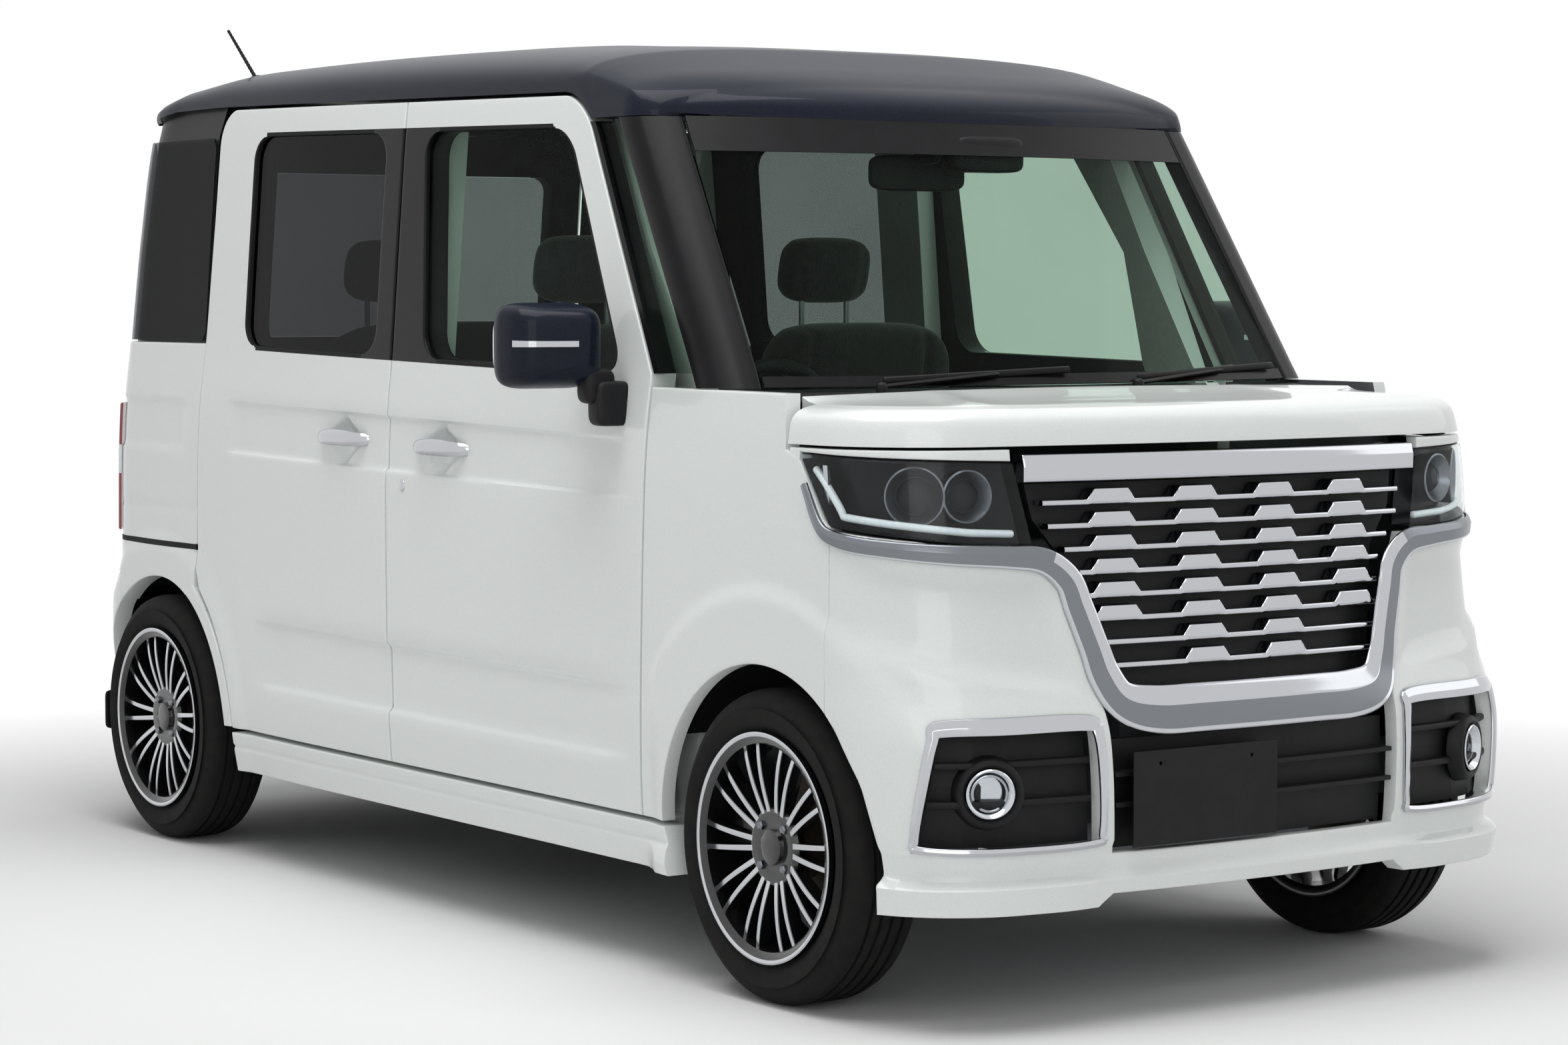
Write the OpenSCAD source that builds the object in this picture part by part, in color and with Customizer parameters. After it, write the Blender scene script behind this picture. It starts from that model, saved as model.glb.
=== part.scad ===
// Tall two-tone microvan with sliding rear doors, built from body panels, running gear and cabin parts.
// Millimetres. X runs across with the car's left at +X, the nose points to -Y, Z is up, origin on the ground.

/* [Overall size] */
// Length over both bumpers
overall_length = 3395; // [3250:5:3550]
// Width of the body over the wheel arches
body_width = 1475; // [1420:5:1540]
// Height of the roof crown above the ground
roof_height = 1775; // [1720:5:1850]
// Front axle behind the nose
front_overhang = 510; // [480:5:540]
// Rear end behind the rear axle
rear_overhang = 425; // [405:5:450]
// Distance between the wheel centres of one axle
track = 1295; // [1270:5:1320]

/* [Body lines] */
// Underside of the side skirts
skirt_bottom = 195; // [170:1:215]
// Underside of the floor
floor_height = 215; // [205:1:225]
// Lower edge of the doors
sill_height = 284; // [275:1:300]
// Lower edge of the side windows at the front door
belt_height = 1110; // [1080:1:1140]
// Upper edge of the door frames at the front door
frame_top = 1630; // [1600:1:1660]
// Rise of the belt and roof lines per millimetre toward the rear
belt_slope = 0.02; // [0:0.005:0.04]
// Lower edge of the bonnet skirt
bonnet_edge = 1000; // [985:1:1015]
// Height of the bonnet at its rear edge
cowl_height = 1086; // [1070:1:1100]
// Plan radius of the front corners
nose_radius = 220; // [180:5:250]
// Plan radius of the rear corners
tail_radius = 180; // [140:5:210]
// Radius of the wheel openings
arch_radius = 326; // [318:1:335]
// Gap between neighbouring panels
panel_gap = 7; // [6:0.5:9]

/* [Doors and windows] */
// Front edge of the front door behind the front axle
door_setback = 390; // [370:5:410]
// Rear edge of the sliding door ahead of the rear axle
quarter_lead = 205; // [190:5:220]
// Share of the door openings taken by the front door
front_door_share = 0.523; // [0.48:0.005:0.56]
// Thickness of the doors
door_depth = 55; // [45:1:58]
// Corner radius of the side windows
window_corner = 55; // [30:1:80]
// Thickness of the glass
glass = 5; // [4:0.5:6]
// Half the width of the tailgate
tailgate_half = 600; // [570:5:620]
// Radius of the hinge pins of the doors and lids
hinge_pin = 4; // [3:0.5:5]

/* [Grille] */
// Number of chrome bars
grille_bar_count = 8; // [6:1:9]
// Distance between the bright blocks along a bar
block_pitch = 185; // [150:5:220]
// Height of a bar with its blocks
bar_height = 28; // [20:1:30]

/* [Wheels] */
// Outside diameter of the tyres
tyre_diameter = 562; // [550:1:575]
// Section width of the tyres
tyre_width = 165; // [155:5:175]
// Diameter of the rim over its flanges
rim_diameter = 414; // [405:1:420]
// Paired spokes of a wheel
spoke_pairs = 10; // [7:1:12]
// Radius of the wheel spindles
spindle_radius = 20; // [17:1:24]
// Play between a spindle or pin and its bore
running_play = 0.05; // [0.02:0.01:0.08]

/* [Hidden] */
$fn = 48;

pearl_white = [0.93, 0.93, 0.92];
night_blue = [0.07, 0.09, 0.15];
black_plastic = [0.08, 0.08, 0.09];
chrome = [0.78, 0.8, 0.82];
clear_glass = [0.62, 0.72, 0.7];
dark_glass = [0.1, 0.11, 0.12];
steel = [0.42, 0.43, 0.45];
fabric = [0.16, 0.16, 0.18];
rubber = [0.07, 0.07, 0.07];
red_lens = [0.6, 0.05, 0.06];

wheelbase = overall_length - front_overhang - rear_overhang;
front_y = -overall_length / 2;
rear_y = overall_length / 2;
front_axle_y = front_y + front_overhang;
rear_axle_y = front_axle_y + wheelbase;
wheel_z = tyre_diameter / 2;
wheel_x = track / 2;
door_y = front_axle_y + door_setback;
slide_y = rear_axle_y - quarter_lead;
front_door_length = front_door_share * (slide_y - door_y);
post_y = door_y + front_door_length;
sliding_door_length = slide_y - post_y;
window_top = frame_top - 62;
frame_depth = door_depth + 6;
frame_inner = frame_depth + 44;
post_depth = frame_depth + 30;
floor_top = floor_height + 25;
floor_half = body_width / 2 - 147;
sill_half = floor_half + 60;
bumper_bottom = skirt_bottom + 12;
rear_bumper_top = 600;
rear_floor = floor_height + 190;
roof_rear_y = rear_y - 217;
bonnet_rear_y = front_axle_y - 20;
chin_z = mix(bumper_bottom, bonnet_edge, 0.477);
lamp_z = mix(bumper_bottom, bonnet_edge, 0.786);
fog_low = bumper_bottom + 108;
fog_top = mix(bumper_bottom, bonnet_edge, 0.414);
beam_y = front_y + 125;
rail_top = cowl_height - 226;

// Rows: height, inset of the body side from half the width
side_inset = [
  [skirt_bottom - 15, 38], [sill_height, 21], [sill_height + 136, 13], [sill_height + 316, 10],
  [belt_height - 230, 10], [belt_height - 100, 15], [belt_height + 20, 27], [belt_height + 290, 47],
  [frame_top + 25, 69], [frame_top + 110, 89]
];
// Rows: height, setback of the nose from the front end on the centre line
nose_setback = [
  [bumper_bottom, 14], [bumper_bottom + 120, 0], [bumper_bottom + 290, 4], [chin_z, 34], [chin_z + 55, 45],
  [lamp_z - 30, 68], [bonnet_edge - 20, 87], [bonnet_edge + 80, 105]
];
// Rows: height, setback of the tail from the rear end on the centre line
tail_setback = [
  [bumper_bottom, 12], [bumper_bottom + 123, 0], [rear_bumper_top - 60, 4], [rear_bumper_top, 36],
  [rear_bumper_top + 300, 50], [belt_height + 20, 60], [belt_height + 290, 84], [frame_top + 10, 125],
  [roof_height, 190]
];
nose_crown = 0.00015;
tail_crown = 0.00011;
tail_taper = 18;
screen_crown = 0.00022;
screen_radius = 70;
arch_flare = 10;
screen_lean = 0.66;

function clamp(v, lo, hi) = min(hi, max(lo, v));
function mix(a, b, t) = a + (b - a) * t;
function ease(t) = let (u = clamp(t, 0, 1)) u * u * (3 - 2 * u);
// Rise from 0 to 1 about one value and back to 0 about another
function plateau(v, lo, hi, soft) = ease((v - lo) / soft + 0.5) * ease((hi - v) / soft + 0.5);

// Smooth curve through a table of rows [place, value], held level beyond its ends
function row_at(v, t, i = 0) = i >= len(t) - 2 || v < t[i + 1][0] ? i : row_at(v, t, i + 1);
function rise(t, i) =
  let (lo = max(0, i - 1), hi = min(len(t) - 1, i + 1)) (t[hi][1] - t[lo][1]) / (t[hi][0] - t[lo][0]);
function curve(v, t) =
  let (
    i = row_at(v, t),
    h = t[i + 1][0] - t[i][0],
    u = clamp((v - t[i][0]) / h, 0, 1)
  )
  mix(t[i][1], t[i + 1][1], ease(u)) + u * (1 - u) * h * ((1 - u) * rise(t, i) - u * rise(t, i + 1));

// Straight-sided lookup in the same kind of table
function line(v, t) =
  let (i = row_at(v, t)) mix(t[i][1], t[i + 1][1], clamp((v - t[i][0]) / (t[i + 1][0] - t[i][0]), 0, 1));

// Body surface: half width by height, nose and tail by height
function half_at(z) = body_width / 2 - curve(z, side_inset);
function taper_at(y) = tail_taper * ease((y - rear_y + 1217) / 900);
function nose_at(z) = front_y + curve(z, nose_setback);
function tail_at(z) = rear_y - curve(z, tail_setback);
function lift(y, z) =
  belt_slope * (y - door_y) * clamp((z - sill_height) / (belt_height - sill_height), 0, 1);
function flare(y, z) =
  let (near = min(norm([y - front_axle_y, z - wheel_z]), norm([y - rear_axle_y, z - wheel_z])))
  arch_flare * ease((arch_radius + 112 - near) / 60);
// Pressed recesses of the door skins
function pressing(y, z) =
  let (h = z - lift(y, z))
  6 * plateau(h, belt_height - 228, belt_height - 122, 22) * plateau(y, door_y + 70, slide_y - 170, 60)
  + 8 * plateau(h, sill_height + 112, sill_height + 244, 34) * plateau(y, door_y + 110, slide_y - 330, 160);

// Ring of the body in plan: run s from the centre line, height z, depth d; front at g = -1, rear at g = 1
function ring_slope(w, k, r) = atan(2 * k * (w - r));
function ring_start(w, k, r) = w - r * (1 - sin(ring_slope(w, k, r)));
function corner_y(w, end, k, r, g) =
  end - g * (k * pow(ring_start(w, k, r), 2) + r * cos(ring_slope(w, k, r)));
function ring_run(y, w, end, k, r, g) =
  let (
    near = g * (y - corner_y(w, end, k, r, g)),
    x1 = ring_start(w, k, r),
    a = ring_slope(w, k, r)
  )
  near <= 0 ? x1 + r * (90 - a) * PI / 180 - near : x1 + r * (acos(min(1, near / r)) - a) * PI / 180;
function ring(s, z, d, w, end, k, r, g) =
  let (
    t = abs(s),
    x1 = ring_start(w, k, r),
    a1 = ring_slope(w, k, r),
    arc = r * (90 - a1) * PI / 180,
    a = t < x1 ? atan(2 * k * t) : min(90, a1 + (t - x1) / r * 180 / PI),
    back = t < x1 ? k * t * t : k * x1 * x1 + r * (cos(a1) - cos(a)) + max(0, t - x1 - arc),
    y = end - g * back,
    x = (t < x1 ? t : x1 + r * (sin(a) - sin(a1))) + (t > x1 && g > 0 ? tail_taper - taper_at(y) : 0),
    e = d - flare(y, z) * ease((t - x1) / arc)
  )
  [(s < 0 ? -1 : 1) * (x - e * sin(a)), y - g * e * cos(a), z];
function nose(s, z, d) = ring(s, z, d, half_at(z), nose_at(z), nose_crown, nose_radius, -1);
function nose_run(y, z) = ring_run(y, half_at(z), nose_at(z), nose_crown, nose_radius, -1);
function tail(s, z, d) = ring(s, z, d, half_at(z) - tail_taper, tail_at(z), tail_crown, tail_radius, 1);
function tail_run(y, z) = ring_run(y, half_at(z) - tail_taper, tail_at(z), tail_crown, tail_radius, 1);

// Windscreen surface and the pillar ring beside it
function screen_y(z) = front_y + 557 + screen_lean * (z - cowl_height);
function pillar(s, z, d) = ring(s, z, d, half_at(z) - 1, screen_y(z), screen_crown, screen_radius, -1);
function pillar_start(z) = ring_start(half_at(z) - 1, screen_crown, screen_radius);
function pillar_run(y, z) = ring_run(y, half_at(z) - 1, screen_y(z), screen_crown, screen_radius, -1);
function pillar_side_y(z) = corner_y(half_at(z) - 1, screen_y(z), screen_crown, screen_radius, -1);
function screen(x, z, d) =
  let (n = norm([1, screen_lean]))
  [x, screen_y(z) + screen_crown * x * x + d / n, z - d * screen_lean / n];

// Body side as a map of y and z, with the door pressings; raised() follows the rising belt and roof lines
function side(y, z, d) =
  let (s = nose_run(y, z), p = nose(s, z, d + pressing(y, z))) [p[0] - taper_at(y), p[1], p[2]];
function raised(y, z, d) = side(y, z + lift(y, z), d);

// Roof surface: foot of the crown, lower edge, rise of the crown and half width along the car
brow_drop = 40;
brow_length = 130;
door_corner_y = door_front(frame_top);
roof_lines = [
  [door_y - 5, -brow_drop], [door_y + 60, -34], [door_y + 150, -15], [door_y + 300, 6 + panel_gap],
  [slide_y, panel_gap + belt_slope * (slide_y - door_y)], [roof_rear_y - 180, 43],
  [roof_rear_y, 15 + panel_gap], [roof_rear_y + 150, -14]
];
// Rows: place, drop of the lower edge round the upper front corner of the door
apron_lines = [
  [door_corner_y - 104, -brow_drop], [door_corner_y - 91, -28], [door_corner_y - 65, -7],
  [door_corner_y - 45, 4], [door_corner_y - 31, 9.5],
  [door_corner_y, 1 + panel_gap + belt_slope * (door_corner_y - door_y)],
  [slide_y, panel_gap + belt_slope * (slide_y - door_y)]
];
crown_lines = [
  [door_y, 52], [door_y + 150, 76], [door_y + 400, 104],
  [mix(door_y, slide_y, 0.55), roof_height - frame_top - 27], [slide_y, roof_height - frame_top - 42],
  [roof_rear_y - 180, 79], [roof_rear_y, 58], [roof_rear_y + 150, 51]
];
function roof_foot(y) = frame_top + line(y, roof_lines);
function roof_edge(y) = y < slide_y ? min(roof_foot(y), frame_top + line(y, apron_lines)) : roof_foot(y);
function roof_front(u) = screen_y(frame_top - brow_drop) + screen_crown * pow(u * (body_width / 2 - 97.5), 2);
function turn_in(past, r) = r * (1 - sqrt(1 - pow(clamp(past / r, 0, 0.97), 2)));
function roof_half(y) =
  let (
    z = roof_edge(y),
    w = half_at(z) - tail_taper,
    rear_corner = corner_y(w, tail_at(z), tail_crown, tail_radius, 1)
  )
  half_at(z) - taper_at(y)
  - turn_in(y - rear_corner, tail_radius)
  - turn_in(pillar_side_y(z) - y, screen_radius);
function roof(u, y, inside) =
  let (
    crown = pow(1 - pow(abs(u), 3), 1 / 3),
    brow = pow(1 - pow(1 - clamp((y - roof_front(u)) / brow_length, 0, 1), 3), 1 / 3),
    apron = clamp((abs(u) - 0.985) / 0.015, 0, 1)
  )
  [
    u * (roof_half(y) - 110 * inside), y,
    mix(roof_foot(y), roof_edge(y), apron) + curve(y, crown_lines) * crown * brow
    - (6 + 29 * brow) * inside * (1 - pow(abs(u), 8))
  ];

// Closed panel between two grids of points, seen with columns to the right and rows upward; holes are cells
module panel(outer, inner, hole = function(i, j) false, closed = false) {
  rows = len(outer);
  cols = len(outer[0]);
  spans = closed ? cols : cols - 1;
  count = rows * cols;
  at = function(k, i, j) k * count + i * cols + j % cols;
  solid = function(i, j)
    i >= 0 && i < rows - 1 && (closed || (j >= 0 && j < spans)) && !hole(i, (j + spans) % spans);
  quad = function(a, b, c, d) [[a, b, c], [a, c, d]];
  cells = [for (i = [0:rows - 2], j = [0:spans - 1]) if (solid(i, j)) [i, j]];
  faces = [
    for (c = cells)
      let (
        i = c[0],
        j = c[1],
        a = [at(0, i, j), at(0, i, j + 1), at(0, i + 1, j + 1), at(0, i + 1, j)],
        b = [for (v = a) v + count]
      )
      each concat(
        quad(a[0], a[3], a[2], a[1]),
        quad(b[0], b[1], b[2], b[3]),
        solid(i - 1, j) ? [] : quad(a[0], a[1], b[1], b[0]),
        solid(i + 1, j) ? [] : quad(a[2], a[3], b[3], b[2]),
        solid(i, j - 1) ? [] : quad(a[3], a[0], b[0], b[3]),
        solid(i, j + 1) ? [] : quad(a[1], a[2], b[2], b[1])
      )
  ];
  points = [for (g = [outer, inner]) for (r = g) for (p = r) p];
  polyhedron(points, faces, convexity = 8);
}

// Panel of a surface map f(row, column, depth)
module shell(rows, cols, f, d0, d1, hole = function(i, j) false, closed = false) {
  panel(
    [for (r = rows) [for (c = cols) f(r, c, d0)]],
    [for (r = rows) [for (c = cols) f(r, c, d1)]],
    hole, closed
  );
}

module both_sides() {
  children();
  mirror([1, 0, 0]) children();
}

// Profile in Y and Z, drawn across the car between two X values
module across(x0, x1) {
  translate([x0, 0, 0]) rotate([90, 0, 90]) linear_extrude(x1 - x0) children();
}

module block(x0, x1, y0, y1, z0, z1) {
  translate([x0, y0, z0]) cube([x1 - x0, y1 - y0, z1 - z0]);
}

// Round bar along X
module rod_x(x0, x1, y, z, r) {
  translate([x0, y, z]) rotate([0, 90, 0]) cylinder(h = x1 - x0, r = r);
}

// Half chord of a circle about a wheel centre at a height
function chord(r, z) = sqrt(max(0, r * r - pow(z - wheel_z, 2)));

// Edges of the side openings by height; the rounding eats into a window at its corners
function round_off(z, lo, hi, r) =
  let (u = clamp(max(lo + r - z, z - hi + r) / r, 0, 1)) r * (1 - sqrt(1 - u * u));
function door_front(z) =
  door_y + 22 - 0.038 * (min(z, belt_height) - sill_height) + 0.575 * max(0, z - belt_height)
  + round_off(z, 0, frame_top, 70);
function door_window_front(z) =
  door_y + 98 + 0.52 * max(0, z - belt_height) + round_off(z, belt_height, window_top, window_corner);
function door_window_rear(z) =
  post_y - 134 + 0.094 * max(0, z - belt_height) - round_off(z, belt_height, window_top, window_corner);
function slide_rear(z) =
  min(
    rear_axle_y - chord(arch_radius + 45, z),
    slide_y + 8 - 30 * ease((z - sill_height - 400) / 900) - round_off(z, 0, frame_top, 80)
  );
function slide_window_front(z) = post_y + 74 + round_off(z, belt_height, window_top, window_corner);
function slide_window_rear(z) = slide_y - 215 - round_off(z, belt_height, window_top, window_corner);

window_rows = [
  belt_height, belt_height + 0.13 * window_corner, belt_height + 0.5 * window_corner,
  belt_height + window_corner, mix(belt_height, window_top, 0.5), window_top - window_corner,
  window_top - 0.5 * window_corner, window_top - 0.13 * window_corner, window_top
];
skin_rows = [
  sill_height + panel_gap, sill_height + 56, sill_height + 97, sill_height + 128, sill_height + 226,
  sill_height + 260, sill_height + 400, belt_height - 238, belt_height - 218, belt_height - 132,
  belt_height - 112, belt_height - 50
];
frame_rows = [mix(window_top, frame_top, 0.35), frame_top - 20, frame_top];
door_rows = concat(skin_rows, window_rows, frame_rows);
first_window_row = len(skin_rows);
last_window_row = first_window_row + len(window_rows) - 1;

// Even columns between the front edge, the two window edges and the rear edge
function spread(a, b, n) = [for (i = [0:n - 1]) mix(a, b, i / n)];
function door_columns(f, wf, wr, r) = concat(spread(f, wf, 2), spread(wf, wr, 5), spread(wr, r, 2), [r]);

module side_door(f, wf, wr, r) {
  rows = [for (z = door_rows) [for (y = door_columns(f(z), wf(z), wr(z), r(z))) [y, z]]];
  panel(
    [for (r = rows) [for (p = r) raised(p[0], p[1], 0)]],
    [for (r = rows) [for (p = r) raised(p[0], p[1], door_depth)]],
    function(i, j) i >= first_window_row && i < last_window_row && j >= 2 && j < 7
  );
}

module window_pane(wf, wr, d) {
  shell(
    window_rows, [0:5],
    function(z, j, e)
      raised(mix(wf(z) + 0.6, wr(z) - 0.6, j / 5), clamp(z, belt_height + 0.6, window_top - 0.6), e),
    d, d + glass
  );
}

// Bow handle standing off the skin
module handle(y) {
  p = raised(y, belt_height - 175, 0);
  difference() {
    block(p[0] - 14, p[0] + 34, y - 95, y + 95, p[2] - 13, p[2] + 13);
    block(p[0] - 20, p[0] + 20, y - 70, y + 70, p[2] - 20, p[2] + 20);
  }
}

// Front door hinges: upright pins in two notches of the door, eyes and arms on the body
door_hinge = [half_at(mix(sill_height, belt_height, 0.5)) - 13, door_y + 52];
hinge_heights = [sill_height + 190, belt_height - 240];
eye_half = 22;
eye_radius = hinge_pin + 3.5;

module left_door() {
  difference() {
    side_door(
      function(z) door_front(z), function(z) door_window_front(z), function(z) door_window_rear(z),
      function(z) post_y - panel_gap / 2
    );
    for (z = hinge_heights)
      block(
        door_hinge[0] - 90, door_hinge[0] + eye_radius + 1, door_y - 60, door_hinge[1] + eye_radius + 2.5,
        z - eye_half - 2, z + eye_half + 2
      );
  }
  for (z = hinge_heights)
    translate([door_hinge[0], door_hinge[1], z - eye_half - 13])
      cylinder(h = 2 * eye_half + 26, r = hinge_pin);
  handle(post_y - 222);
}

module door_eyes() {
  for (z = hinge_heights) difference() {
    union() {
      translate([door_hinge[0], door_hinge[1], z - eye_half]) cylinder(h = 2 * eye_half, r = eye_radius);
      block(
        half_at(z) - post_depth - 12, door_hinge[0], door_hinge[1] - 5, door_hinge[1] + 5,
        z - eye_half, z + eye_half
      );
    }
    translate([door_hinge[0], door_hinge[1], z - eye_half - 1])
      cylinder(h = 2 * eye_half + 2, r = hinge_pin + running_play);
  }
}

module door_left() color(pearl_white) left_door();
module door_right() color(pearl_white) mirror([1, 0, 0]) left_door();

module left_door_glass() {
  window_pane(function(z) door_window_front(z), function(z) door_window_rear(z), 14);
}
module door_glass_left() color(clear_glass) left_door_glass();
module door_glass_right() color(clear_glass) mirror([1, 0, 0]) left_door_glass();

module sliding_doors() color(pearl_white) both_sides() {
  side_door(
    function(z) post_y + panel_gap / 2, function(z) slide_window_front(z), function(z) slide_window_rear(z),
    function(z) slide_rear(z)
  );
  handle(post_y + 190);
  // Latch pins into the posts
  z = mix(sill_height, belt_height, 0.55);
  for (y = [post_y + 35, slide_y - 65])
    rod_x(side(y, z, frame_depth + 9)[0], side(y, z, door_depth - 10)[0], y, z, 8);
}

// Rear quarter window between the sliding door and the tailgate
function quarter_front(z) = slide_y + 3 + round_off(z, belt_height, window_top, window_corner * 0.5);
function quarter_run(z) = tailgate_half + 20 + round_off(z, belt_height, window_top, window_corner * 0.5);
quarter_lift = belt_slope * (slide_y + 60 - door_y);

module privacy_glass() color(dark_glass) both_sides() {
  window_pane(function(z) slide_window_front(z), function(z) slide_window_rear(z), 14);
  shell(
    window_rows, [0:10],
    function(z, j, d)
      let (
        h = clamp(z, belt_height + 0.6, window_top - 0.6) + quarter_lift,
        s0 = tail_run(quarter_front(z) + 0.6, h),
        s1 = quarter_run(z) + 0.6
      )
      tail(mix(s0, s1, j / 10), h, d),
    6, 6 + glass
  );
}

// Inner frame of one side: posts, roof rail and sill, with both door openings
module side_frame() {
  a_front = function(z)
    z < belt_height ? max(door_y - 90, front_axle_y + chord(arch_radius + 40, z)) : door_front(z) - 14;
  a_rear = function(z) z < belt_height ? door_y + 110 : door_window_front(z) - 20;
  c_rear = function(z) min(slide_y - 20, rear_axle_y - chord(arch_radius + 48, z));
  c_front = function(z) min(slide_y - 110, rear_axle_y - chord(arch_radius + 140, z));
  rows = [
    sill_height, sill_height + 46, sill_height + 146, sill_height + 246, sill_height + 336, sill_height + 420,
    belt_height - 60, belt_height, mix(belt_height, window_top, 0.5), window_top + 10, frame_top - 1
  ];
  marks = function(z) [
    a_front(z), a_rear(z), mix(a_rear(z), post_y - 80, 0.5), post_y - 80, post_y, post_y + 70,
    mix(post_y + 70, c_front(z), 0.5), c_front(z), c_rear(z)
  ];
  outer_depth = function(y, z) y < door_y + 150 && z <= belt_height ? post_depth : frame_depth;
  panel(
    [for (z = rows) [for (y = marks(z)) raised(y, z, outer_depth(y, z))]],
    [for (z = rows) [for (y = marks(z)) raised(y, z, frame_inner + (y < door_y + 150 ? 18 : 0))]],
    function(i, j) i >= 1 && i <= 8 && (j == 1 || j == 2 || j == 5 || j == 6)
  );
}

// Outer skin behind the sliding door, over the wheel and round the corner to the tailgate
module quarter_skin() {
  joint_y = rear_axle_y + 0.47 * rear_overhang;
  top = belt_height - 4 + quarter_lift;
  low = function(y)
    y < joint_y ? wheel_z + sqrt(max(0, pow(arch_radius, 2) - pow(y - rear_axle_y, 2))) : rear_bumper_top + 2;
  marks = [
    slide_y + 16, slide_y + 70, slide_y + 130, rear_axle_y, rear_axle_y + 70, rear_axle_y + 140, joint_y,
    joint_y + 6
  ];
  turns = [0.12, 0.25, 0.37, 0.5, 0.62, 0.75, 0.87, 1];
  last = len(marks) + len(turns) - 1;
  shell(
    [0, 0.25, 0.5, 0.75, 1], [0:last],
    function(i, j, d)
      let (z = mix(low(j < len(marks) ? marks[j] : rear_y), top, i), s0 = tail_run(joint_y + 6, z))
      j == 0 ? tail(tail_run(slide_rear(z) + panel_gap, z), z, d)
      : j < len(marks) ? tail(tail_run(marks[j], z), z, d)
      : tail(mix(s0, tailgate_half + panel_gap, turns[j - len(marks)]), z, d),
    0, 45
  );
  // Wheel lip between the sliding door and the arch
  shell(
    [0, 1], [for (a = [6:-1:0]) mix(118, 178, a / 6)],
    function(r, a, d)
      let (q = arch_radius + 37 * r, y = rear_axle_y + q * cos(a), z = wheel_z + q * sin(a))
      tail(tail_run(y, z), z, d + 0.5),
    0, 40
  );
  // Post behind the quarter window
  pillar_rows = [
    belt_height - 60, belt_height, mix(belt_height, window_top, 0.5), window_top + 4, window_top + 20
  ];
  shell(
    pillar_rows, [5, 4, 3, 2, 1, 0],
    function(z, j, d)
      let (h = z + quarter_lift, s0 = tail_run(slide_y + 20, h), s1 = tail_run(rear_y - 260, h))
      tail(j < 4 ? mix(tailgate_half + 12, s1, j / 4) : mix(s1, s0, j - 4), h, d),
    16, 70
  );
}

module body_sides() color(pearl_white) both_sides() {
  side_frame();
  quarter_skin();
  door_eyes();
  // Sill beam under the doors
  block(floor_half, sill_half, door_y, rear_axle_y - arch_radius - 80, floor_height, sill_height + 6);
}

module fenders() color(pearl_white) both_sides() {
  joint_y = front_axle_y - 200;
  // Rows: distance behind the front axle, height of the upper edge
  upper_edge = [
    [-200, lamp_z + 30], [-187, lamp_z + 34], [-105, bonnet_edge - 22], [-66, bonnet_edge - 12],
    [-58, cowl_height - 1], [400, cowl_height + 1]
  ];
  marks = [
    joint_y, front_axle_y - 187, front_axle_y - 105, front_axle_y - 66, front_axle_y - 58, front_axle_y,
    front_axle_y + 100, front_axle_y + 180, front_axle_y + 250, front_axle_y + 295, front_axle_y + 318,
    front_axle_y + arch_radius, front_axle_y + arch_radius + 8, door_y - panel_gap
  ];
  low = function(y)
    max(sill_height + panel_gap, wheel_z + sqrt(max(0, pow(arch_radius, 2) - pow(y - front_axle_y, 2))));
  last = len(marks) - 1;
  shell(
    [0, 0.2, 0.4, 0.6, 0.8, 1], [0:last],
    function(i, j, d)
      let (
        z = mix(low(marks[j]), line(marks[j] - front_axle_y, upper_edge), i),
        y = j == last ? door_front(min(z, belt_height - 1)) - panel_gap : marks[j]
      )
      side(y, z, d),
    0, 30
  );
  // Flange under the A-pillar foot
  x1 = half_at(cowl_height) - 12;
  block(x1 - 33, x1, bonnet_rear_y - 32, door_y - 40, cowl_height - 8, cowl_height - 1);
  block(x1 - 46, x1, bonnet_rear_y + 8, door_y - 40, cowl_height - 8, cowl_height - 1);
  // Strip over the headlamp, under the bonnet
  shell(
    [0, 1], concat([for (j = [0:7]) mix(480, lamp_end(), j / 7)], [2, 5, 30] + lamp_end() * [1, 1, 1]),
    function(r, s, d)
      let (z = mix(s < lamp_end() + 3 ? lamp_top(s) + 4 : bonnet_edge - 34, bonnet_edge - panel_gap, r))
      nose(s, z, d),
    0.3, 24
  );
  // Bracket to the upper rail
  block(
    floor_half, half_at(rail_top) - 20, front_axle_y - 20, front_axle_y + 20, rail_top - 50, rail_top - 30
  );
}

// Outline of the grille and the lower edge of the headlamps on the nose
function grille_half(z) =
  line(z, [
    [bumper_bottom + 90, 330], [chin_z - 45, 338], [chin_z - 2, 345], [lamp_z - 30, 392], [lamp_z, 440],
    [bonnet_edge - 25, 470]
  ]);
function lamp_low(s) = lamp_z + line(s, [[430, -4], [560, 2], [700, 16], [900, 36]]);
function lamp_top(s) = line(s, [[474, bonnet_edge - 31], [900, bonnet_edge - 18]]);
function lamp_end() = nose_run(front_axle_y - 112, bonnet_edge - 18);
function fog_out(z) = line(z, [[fog_low, 712], [fog_top, 664]]);

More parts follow.
